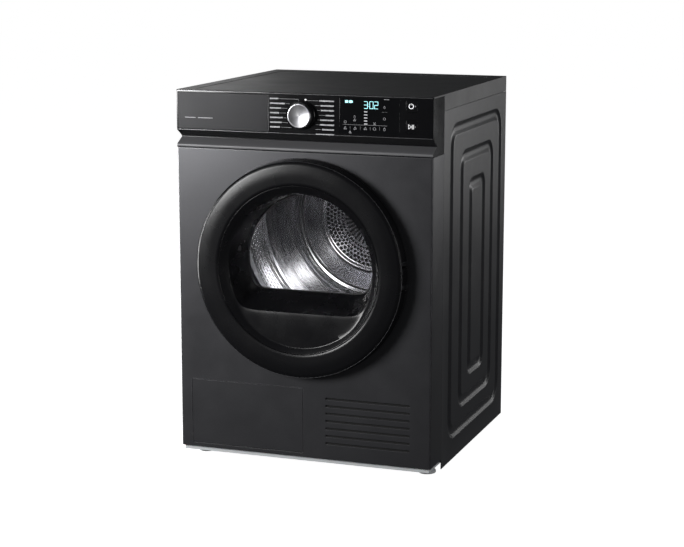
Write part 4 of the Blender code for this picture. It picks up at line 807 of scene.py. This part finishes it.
def button_pieces():
    for node, body in BUTTONS.items():
        low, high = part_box(node)
        show(node + "_look", plate(low, high, 0.0028, low.y, high.y), gloss, body, "gloss_black", (node,),
             edge=0.0005)
        x, z = (low.x + high.x) / 2 - 0.0015, (low.z + high.z) / 2
        if node == "power_button":
            lines("power_symbol", stroke(arc(x, z, 0.0050, 28, 332, 30), 0.0011) +
                  stroke([(x, z + 0.0026), (x, z + 0.0062)], 0.0010), bright_print, body, low.y)
        else:
            back = x - 0.0056
            marks = stroke([(back, z - 0.0046), (back, z + 0.0046), (x + 0.0008, z), (back, z - 0.0046)], 0.0010)
            for bar in (0.0026, 0.0056):
                marks += stroke([(x + bar, z - 0.0044), (x + bar, z + 0.0044)], 0.0012)
            lines("start_symbol", marks, bright_print, body, low.y)
        bars(node + "_note", [(high.x - 0.0062, high.x - 0.0045, z - 0.0014, z + 0.0014)], grey_print, body,
             low.y)


def knob_piece():
    """Turned aluminium cap with a rolled rim and a fine waist, on a black skirt."""
    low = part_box("programme_knob")[0].y
    r = 0.0270
    profile = [(0, low + 0.0004), (r - 0.0042, low + 0.0004), (r - 0.0036, low + 0.0001), (r - 0.0014, low),
               (r - 0.0005, low + 0.0004), (r, low + 0.0014), (r, FRONT - 0.0064), (r - 0.0004, FRONT - 0.0058),
               (r - 0.0004, FRONT - 0.0052), (0.0035, FRONT - 0.0052), (0.0035, FRONT + 0.0100), (0, FRONT + 0.0100)]
    show("programme_knob_look", turned(profile, "y", (0, KNOB_Z)), spun_painted_sheen, "knob",
                 "spun_aluminium", ("programme_knob",), sharp=50)
    profile = [(0.0040, FRONT - 0.0051), (0.0290, FRONT - 0.0051), (0.0312, FRONT - 0.0040), (0.0320, FRONT - 0.0020),
               (0.0320, FRONT - 0.0006), (0.0040, FRONT - 0.0006)]
    show("knob_skirt", turned(profile, "y", (0, KNOB_Z), 128), gloss, "knob", "gloss_black",
                 sharp=50)


drawer_paint = paint("drawer_paint", (0.016, 0.016, 0.018), 0.32, 0.10, 0.05, Specular_IOR_Level=0.17)
bright_print = print_ink("bright_print", (0.92, 0.92, 0.93), 0.35)
fascia_piece()
drawer_piece()
programme_marks()
display_piece()
button_pieces()
knob_piece()


# ---------------------------------------------------------------- door
HINGE_X, HINGE_Y = DOOR_R - 0.013, FRONT - 0.0255


def flat_round(radius, flat, turn):
    """Radius at an angle of a circle cut flat below, its two corners rounded off."""
    down = -math.sin(turn)
    if down < 0.02:
        return radius
    chord, power = flat / down, 14
    return (radius ** -power + chord ** -power) ** (-1 / power)


def door_shell(rows, caps=False):
    """A closed skin round the door's axis; a row is (radius, flat or None, y) and at times a lift."""
    rings = []
    for radius, flat, y, *lift in rows:
        ring = []
        for i in range(FINE):
            turn = 2 * math.pi * (i + 0.5) / FINE
            r = radius if flat is None else flat_round(radius, flat, turn)
            ring.append(Vector((r * math.cos(turn), y, DOOR_Z + sum(lift) + r * math.sin(turn))))
        rings.append(ring)
    return skin(rings, caps)


def hinge_room():
    return [block((HINGE_X - 0.030, HINGE_Y - 0.0049, DOOR_Z + s * 0.026 - 0.0065),
                  (HINGE_X + 0.018, HINGE_Y + 0.030, DOOR_Z + s * 0.026 + 0.0065)) for s in (-1, 1)]


def door_pieces():
    r, ridge, f = DOOR_R, DOOR_R - 0.0575, FRONT
    outer = smooth_path([(r - 0.003, f - 0.003), (r, f - 0.0075), (r - 0.0042, f - 0.0305), (r - 0.0105, f - 0.0350),
                         (r - 0.030, f - 0.0370), (ridge + 0.0045, f - 0.0360), (ridge, f - 0.0345),
                         (ridge, f - 0.0310)], (0.003, 0.004, 0.005, 0.010, 0.006, 0.002), 6)
    inner = [(ridge + 0.004, f - 0.0333), (r - 0.030, f - 0.0345), (r - 0.0105, f - 0.0320), (r - 0.0070, f - 0.0290),
             (r - 0.0025, f - 0.0075), (r - 0.0035, f - 0.003)]
    rim = raw("door_ring_look", turned(outer + inner, "y", (0, DOOR_Z)))
    carve(rim, merged(*hinge_room()))
    finish_piece(rim, ring_black, "door", "gloss_black", ("door_ring",), sharp=35)
    # a painted highlight: a thin lighter bead round the ring's outer edge
    bead = [(r - 0.0052, f - 0.0319), (r - 0.0047, f - 0.0324), (r - 0.0042, f - 0.0314), (r - 0.0047, f - 0.0309)]
    show("door_ring_edge_highlight", turned(bead, "y", (0, DOOR_Z)), faint_painted_highlight, "door", "gloss_black")

    edge = ridge - 0.0006
    rows = [(edge, None, f - 0.0345), (edge - 0.0012, None, f - 0.0340), (edge - 0.0100, None, f - 0.0250),
            (edge - 0.0120, None, f - 0.0238)]
    for i in range(5):
        t = (i + 1) / 5
        rows.append((edge - 0.0120 + (BOWL_R + 0.0030 - edge + 0.0120) * t, BOWL_FLAT + 0.003 + 0.06 * (1 - t) ** 1.5,
                     f - 0.0238 + 0.0033 * t))
    rows += [(BOWL_R + 0.0010, BOWL_FLAT + 0.0010, f - 0.0200), (BOWL_R, BOWL_FLAT, f - 0.0180)]
    for i in range(1, 9):
        t = i / 8
        rows.append((BOWL_R + (GLASS_R - BOWL_R) * t, BOWL_FLAT + (GLASS_FLAT - BOWL_FLAT) * t,
                     f - 0.0180 + 0.0656 * t, GLASS_LIFT * max(0.0, t - 0.3) / 0.7))
    w = 0.0018
    rows += [(GLASS_R + w, GLASS_FLAT + w, f + 0.0476, GLASS_LIFT), (BOWL_R + w, BOWL_FLAT + w, f - 0.0160),
             (edge - 0.008, None, f - 0.0205), (edge, None, f - 0.0300)]
    show("door_bowl_look", door_shell(rows), bowl_black, "door", "gloss_black", ("door_bowl",),
                 edge=0.0009, angle=28, sharp=40)

    edge = 0.0030
    rows = [(GLASS_R + edge, GLASS_FLAT + edge, y, GLASS_LIFT) for y in (GLASS_Y, GLASS_Y + 0.0036)]
    show("door_window_look", door_shell(rows, True), glass, "door", "door_glass", ("door_window",))
    rows = [(GLASS_R + wide, GLASS_FLAT + wide, GLASS_Y - ahead, GLASS_LIFT) for wide, ahead in
            ((0.0004, 0.0004), (-0.0008, 0.0004), (-0.0010, 0.0010), (-0.0007, 0.0020), (0.0004, 0.0026))]
    show("door_window_bead", door_shell(rows), rubber, "door", "rubber")

    w, plug, tip = 0.0025, THROAT_R - 0.0055, f + 0.061
    narrow = plug - 0.006
    outer = smooth_path([(r - w - 0.0016, f - 0.003), (plug + 0.006, f - 0.003), (plug, f),
                         (narrow, tip - 0.004), (narrow - 0.004, tip)], (0.001, 0.005, 0.002), 5)
    rows = [(a, None, y) for a, y in outer]
    rows += [(GLASS_R + 0.0015, GLASS_FLAT + 0.0015, tip, GLASS_LIFT),
             (GLASS_R + 0.001, GLASS_FLAT + 0.001, tip - 0.001, GLASS_LIFT),
             (GLASS_R + 0.001, GLASS_FLAT + 0.001, GLASS_Y + 0.0044, GLASS_LIFT),
             (narrow - w, None, GLASS_Y + 0.0044),
             (plug - w, None, f - 0.003 - w), (r - w - 0.0016, None, f - 0.003 - w)]
    inside = raw("door_inner_frame_look", door_shell(rows))
    carve(inside, merged(*hinge_room()))
    finish_piece(inside, matte, "door", "matte_black", ("door_inner_frame",), edge=0.0008, angle=45)
    heads = []
    for i in range(10):
        turn = 2 * math.pi * (i + 0.5) / 10
        a, b, y = 0.214 * math.cos(turn), DOOR_Z + 0.214 * math.sin(turn), f - 0.003
        heads.append(turned([(0, y - 0.0004), (0.0044, y - 0.0004), (0.0044, y + 0.0006), (0.0030, y + 0.0016),
                             (0, y + 0.0018)], "y", (a, b), 20))
    show("door_screws", merged(*heads), zinc, "door", "zinc_steel", edge=0.0002, parts=2)

    outer, inner = HOLE_R - 0.0006, THROAT_R + 0.0010
    lip = smooth_path([(inner, f + 0.013), (inner, f - 0.0012), (inner + 0.0010, f - 0.0026), (inner + 0.0044, f - 0.0026),
                       (inner + 0.0060, f - 0.0008), (inner + 0.0075, f - 0.0016), (outer - 0.002, f + 0.0002),
                       (outer, f + 0.0012), (outer, f + 0.013)], (0.001,) * 7, 4)
    show("door_seal_look", turned(lip, "y", (0, DOOR_Z)), rubber, "cabinet", "rubber",
                 ("door_seal",), sharp=60)


def throat_piece():
    """The moulded way in, with the filter's pocket in its floor."""
    w = 0.0025
    mouth, step, rear = HOLE_R + 0.0005, FRONT + 0.0135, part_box("door_throat")[1].y
    behind, flange = FRONT + 0.0016, HOLE_R + 0.011
    profile = [(mouth, behind), (flange, behind), (flange, behind + w), (mouth + w, behind + w), (mouth + w, step + w),
               (THROAT_R + w, step + w), (THROAT_R + w, rear), (THROAT_R, rear), (THROAT_R, step), (mouth, step)]
    throat = raw("door_throat_look", turned(profile, "y", (0, DOOR_Z)))
    low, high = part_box("lint_filter")
    half, front, back, floor = high.x + 0.0045, low.y - 0.001, high.y + 0.001, low.z - 0.002
    meeting = DOOR_Z - math.sqrt(THROAT_R ** 2 - (half + w) ** 2) - 0.75 * w
    carve(throat, block((-half - w, front - w, floor - w), (half + w, back + w, meeting)), "UNION")
    carve(throat, block((-half, front, floor), (half, back, DOOR_Z - THROAT_R + 0.060)))
    carve(throat, disc(THROAT_R - 0.0004, (0, DOOR_Z), FRONT + 0.03, FRONT + 0.13))
    finish_piece(throat, matte, "cabinet", "matte_black", ("door_throat",), edge=0.0006, angle=50)


def filter_piece():
    """The cassette: rounded frame with its fine screen and a finger hollow."""
    low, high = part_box("lint_filter")
    half, outline = high.x, [(-high.x + 0.005, low.z), (high.x - 0.005, low.z)]
    for i in range(41):
        x = half - 2 * half * i / 40
        outline.append((x, DOOR_Z - math.sqrt(THROAT_R ** 2 - x ** 2)))
    body = raw("lint_filter_look", prism(outline, "y", low.y, high.y))
    carve(body, prism(rounded(-0.045, 0.045, DOOR_Z - THROAT_R - 0.025, DOOR_Z - THROAT_R + 0.05, 0.004), "y",
                      low.y + 0.008, low.y + 0.018))
    carve(body, prism(rounded(-0.080, 0.080, low.z + 0.010, DOOR_Z - THROAT_R - 0.030, 0.005), "y",
                      low.y - 0.01, low.y + 0.0035))
    finish_piece(body, matte, "filter", "matte_black", ("lint_filter",), edge=0.0008)
    thick, ceiling = 0.0003, DOOR_Z - THROAT_R - 0.0305
    wires = [block((x - thick, low.y + 0.0022, low.z + 0.0105), (x + thick, low.y + 0.0030, ceiling))
             for x in [-0.079 + 0.158 * i / 30 for i in range(31)]]
    wires += [block((-0.0795, low.y + 0.0018, z - thick), (0.0795, low.y + 0.0026, z + thick))
              for z in [low.z + 0.012 + 0.0045 * i for i in range(9)] if z < ceiling - 0.0015]
    show("lint_screen", merged(*wires), steel, "filter", "stainless")


door_pieces()
throat_piece()
filter_piece()


# ---------------------------------------------------------------- drum
def drum_steel():
    """Stainless sheet with rows of pressed dimples near the mouth."""
    made = Surface("stainless_dimpled", (0.58, 0.58, 0.60), 0.15, 1.0)
    made.mottle(24, 0.05, (1, 30, 1)).uneven(30, 0.045, (1, 24, 1)).grain(120, 0.03, (1, 18, 1))
    split = made.node("ShaderNodeSeparateXYZ")
    made.join(made.place, split.inputs[0])
    x, y, z = split.outputs
    angle = made.math("ARCTAN2", made.math("SUBTRACT", z, DRUM_Z), x)
    across = made.math("MULTIPLY", angle, 140 / (2 * math.pi))
    along = made.math("MULTIPLY", made.math("SUBTRACT", y, DRUM_START + 0.150), 1 / 0.0135)
    odd = made.math("MULTIPLY", made.math("MODULO", made.math("FLOOR", along), 2.0), 0.5)
    u = made.math("SUBTRACT", made.math("FRACT", made.math("ADD", made.math("ADD", across, odd), 200.0)), 0.5)
    v = made.math("SUBTRACT", made.math("FRACT", along), 0.5)
    far = made.math("SQRT", made.math("ADD", made.math("MULTIPLY", u, u), made.math("MULTIPLY", v, v)))
    inside = made.ranged(far, 1.0, 0.0, 0.10, 0.34)
    band = made.math("MULTIPLY", made.math("GREATER_THAN", along, 0.0), made.math("LESS_THAN", along, 11.0))
    depth = made.math("MULTIPLY", inside, band)
    bump = made.node("ShaderNodeBump", invert=True, in_Strength=1.0, in_Distance=0.0045)
    made.join(depth, bump.inputs["Height"])
    made.join(made.height, bump.inputs["Normal"])
    made.join(bump.outputs["Normal"], made.shader.inputs["Normal"])
    return made


def drum_pieces():
    s, e, wall = DRUM_START, DRUM_END, 0.0012
    r = DRUM_R - wall
    line = [(0.2056, s), (0.2050, s + 0.0026), (0.2120, s + 0.0032), (0.2600, s + 0.0030), (r, s + 0.0180)]
    radii = [0.0010, 0.002, 0.006, 0.012]
    for y0, half, rise in ((0.0700, 0.0040, 0.0018), (0.3060, 0.0036, 0.0040), (0.3170, 0.0036, 0.0042),
                           (0.3310, 0.0050, 0.0040)):
        line += [(r, s + y0 - half), (r - rise, s + y0), (r, s + y0 + half)]
        radii += [half * 0.6, half * 0.8, half * 0.6]
    line.append((r, e))
    inner = smooth_path(line, radii, 6)
    profile = inner + [(DRUM_R, e), (DRUM_R, s + 0.010), (DRUM_R - 0.006, s + 0.0012), (0.2600, s)]
    shell = raw("drum_shell_look", turned(profile, "y", (0, DRUM_Z)))
    finish_piece(shell, drum_steel(), "drum", "stainless", ("drum_shell",), sharp=60)

    rim, hub = r - 0.0006, 0.128
    front = smooth_path([(0, e - 0.0050), (hub, e - 0.0056), (hub + 0.0030, e - 0.0085), (hub + 0.0070, e - 0.0125),
                         (hub + 0.0130, e - 0.0112), (0.186, e - 0.0125), (0.196, e - 0.0185), (0.206, e - 0.0185),
                         (0.216, e - 0.0150), (0.262, e - 0.0250), (rim, e - 0.0300)],
                        (0.003, 0.003, 0.003, 0.02, 0.008, 0.008, 0.010, 0.012, 0.010), 6)
    back = [(rim, e - 0.0092), (hub + 0.007, e - 0.0092), (hub - 0.001, e - 0.0030), (0, e - 0.0030)]
    show("drum_rear_wall_look", turned(front + back, "y", (0, DRUM_Z)), steel, "drum",
                 "stainless", ("drum_rear_wall",), sharp=60)

    shade_discs, collars = [], []
    y = e - 0.0058
    per_row = 66
    for row, radius in enumerate((0.1225, 0.1130, 0.1035, 0.0940, 0.0845)):
        for i in range(per_row):
            turn = 2 * math.pi * (i + 0.5 * (row % 2)) / per_row
            place = (radius * math.cos(turn), DRUM_Z + radius * math.sin(turn))
            size = 0.0033 * radius / 0.1035
            shade_discs.append(disc(size, place, y - 0.0007, y + 0.0010, 8))
            collars.append(turned([(size, y - 0.0006), (size + 0.0003, y - 0.0014), (size + 0.0010, y - 0.0004),
                                   (size + 0.0010, y + 0.0008), (size, y + 0.0008)], "y", place, 8))
    for row, (near, far, count) in enumerate(((0.0520, 0.0750, 44), (0.0260, 0.0400, 30))):
        for i in range(count):
            turn = 2 * math.pi * (i + 0.5 * row) / count
            along, across = Vector((math.cos(turn), math.sin(turn))), Vector((-math.sin(turn), math.cos(turn)))
            centre = Vector((0, DRUM_Z))
            for reach, target, depth in ((0.0, shade_discs, 0.0012), (0.0009, collars, 0.0008)):
                half, outline = (0.0024 if row == 0 else 0.0018) + reach, []
                for base, sign in ((far, 1), (near, -1)):
                    for bend in [math.radians(45 * k) for k in range(5)]:
                        outline.append(tuple(centre + along * (base + half * math.sin(bend) * sign) +
                                             across * half * math.cos(bend) * sign))
                target.append(prism(outline, "y", y - depth, y + 0.0010))
    # the air holes are near-black discs on the wall: painted shade where the holes are
    show("drum_hole_shade_discs", merged(*shade_discs), painted_hole_shade, "drum", "matte_black", sharp=30)
    show("drum_hole_collars", merged(*collars), steel, "drum", "stainless", sharp=50)

    cap = smooth_path([(0, e - 0.0125), (0.020, e - 0.0125), (0.034, e - 0.0105), (0.040, e - 0.0060),
                           (0.040, e - 0.0050), (0, e - 0.0050)], (0.006, 0.008, 0.004, 0.001), 5)
    show("drum_hub_cap", turned(cap, "y", (0, DRUM_Z), 96), steel, "drum", "stainless")

    foot, top = r - 0.0040, r - 0.046
    section = smooth_path([(-0.035, foot), (-0.022, foot - 0.020), (-0.0100, top), (0.0100, top), (0.022, foot - 0.020),
                           (0.035, foot)], (0.010, 0.007, 0.007, 0.010), 6)
    for k in range(3):
        turn = 2 * math.pi * (k + 0.25) / 3
        low, high = s + 0.030, e - 0.030
        rings = []
        ends = ((0, 0.55), (0.004, 0.78), (0.014, 0.94), (0.030, 1.0))
        for y, share in [(low + a, b) for a, b in ends] + [(high - a, b) for a, b in reversed(ends)]:
            ring = []
            for a, q in section:
                q = foot - (foot - q) * share
                a = a * (0.55 + 0.45 * share)
                ring.append(Vector((q * math.cos(turn) - a * math.sin(turn), y,
                                    DRUM_Z + q * math.sin(turn) + a * math.cos(turn))))
            rings.append(ring)
        show(f"drum_lifter_{k + 1}_look", skin(rings), lifter_black, "drum", "matte_black",
                     (f"drum_lifter_{k + 1}",), edge=0.0008, angle=50)


drum_pieces()


# ---------------------------------------------------------------- the CAD nodes that stay, in their own finishes
SLOT_LOOKS = {"graphite_paint": graphite, "cabinet_paint": cabinet, "worktop_plastic": worktop_skin,
              "gloss_black": gloss, "matte_black": matte, "spun_aluminium": spun_painted_sheen, "stainless": steel, "zinc_steel": zinc,
              "pale_plastic": pale, "rubber": rubber, "felt": felt, "door_glass": glass, "circuit_board": board,
              "copper_fins": copper, "aluminium_fins": aluminium}
for part in frame["record"]["subparts"]:
    node = frame["nodes"][part["node"]]
    for spot in node.material_slots:
        spot.material = SLOT_LOOKS[part["material_slot"]].material
    if not node.hide_render:
        soft = node.modifiers.new("edge", "BEVEL")
        soft.width, soft.segments, soft.limit_method = 0.0005, 2, "ANGLE"
        soft.angle_limit, soft.harden_normals = math.radians(50), True


# ---------------------------------------------------------------- stage, light and camera
LAMPS = (       # name, place, what it points at, width and height, watts
    ("key", (-1.40, -1.90, 0.96), (-0.24, FRONT, 0.62), (0.9, 0.8), 54),
    ("soft", (-2.4, -3.4, 2.4), (0, 0, 0.5), (2.4, 2.0), 8),
    ("top", (-2.2, 2.6, 2.0), (-0.2, 0, 0.85), (1.8, 1.4), 9),
    ("side", (4.0, -1.5, 1.0), (0.3, 0, 0.50), (0.5, 2.0), 40),
    ("rear_right", (2.2, 3.0, 0.8), (0.3, 0.1, 0.50), (1.2, 1.4), 14),
    ("left", (-2.8, 0.1, 0.5), (-0.3, -0.25, 0.40), (1.0, 1.6), 170),
    ("drum_light", (0.04, -0.15, 0.620), (-0.10, 0.40, 0.46), (0.26, 0.08), 0.85),
    ("glint_low", (-0.195, -0.10, 0.375), (-0.18, 0.19, 0.38), (0.022, 0.018), 0.010),
    ("glint_right", (0.20, 0.10, 0.580), (-0.28, 0.06, 0.42), (0.022, 0.022), 0.007))


def stage():
    mesh = bmesh.new()
    bmesh.ops.create_grid(mesh, x_segments=2, y_segments=2, size=14.0)
    floor = raw("floor", mesh, False)
    pale_floor = Surface("floor_pale", (0.34, 0.34, 0.345), 0.8, Emission_Strength=0.98)
    pale_floor.shader.inputs["Emission Color"].default_value = (1, 1, 1, 1)
    pale_floor.mottle(3, 0.01).uneven(4, 0.05).grain(60, 0.02)
    floor.data.materials.append(pale_floor.material)
    floor.visible_glossy = floor.visible_diffuse = False

    for name, place, aim, size, power in LAMPS:
        lamp = bpy.data.lights.new(name, "AREA")
        lamp.shape, lamp.size, lamp.size_y, lamp.energy = "RECTANGLE", *size, power
        thing = bpy.data.objects.new(name, lamp)
        thing.location = place
        thing.rotation_euler = (Vector(aim) - Vector(place)).to_track_quat("-Z", "Y").to_euler()
        thing.visible_camera = False
        bpy.context.scene.collection.objects.link(thing)

    world = bpy.data.worlds.new("world")
    bpy.context.scene.world = world
    world.use_nodes = True
    tree = world.node_tree
    back = tree.nodes["Background"]
    back.inputs["Color"].default_value = (0.80, 0.82, 0.86, 1)
    back.inputs["Strength"].default_value = 0.06
    bright = tree.nodes.new("ShaderNodeBackground")
    bright.inputs["Color"].default_value = (1, 1, 1, 1)
    bright.inputs["Strength"].default_value = 1.0
    path, mix = tree.nodes.new("ShaderNodeLightPath"), tree.nodes.new("ShaderNodeMixShader")
    tree.links.new(path.outputs["Is Camera Ray"], mix.inputs["Fac"])
    tree.links.new(back.outputs["Background"], mix.inputs[1])
    tree.links.new(bright.outputs["Background"], mix.inputs[2])
    tree.links.new(mix.outputs["Shader"], tree.nodes["World Output"].inputs["Surface"])
    bpy.context.scene.view_settings.view_transform = "Standard"


def camera():
    lens = bpy.data.cameras.new("camera")
    lens.lens, lens.sensor_width = 96.67, 36.0
    lens.clip_end = 100
    thing = bpy.data.objects.new("camera", lens)
    thing.location = (1.4425, -4.0142, 1.2132)
    thing.rotation_euler = (math.radians(79.206), 0, math.radians(19.877))
    bpy.context.scene.collection.objects.link(thing)
    bpy.context.scene.camera = thing


stage()
camera()
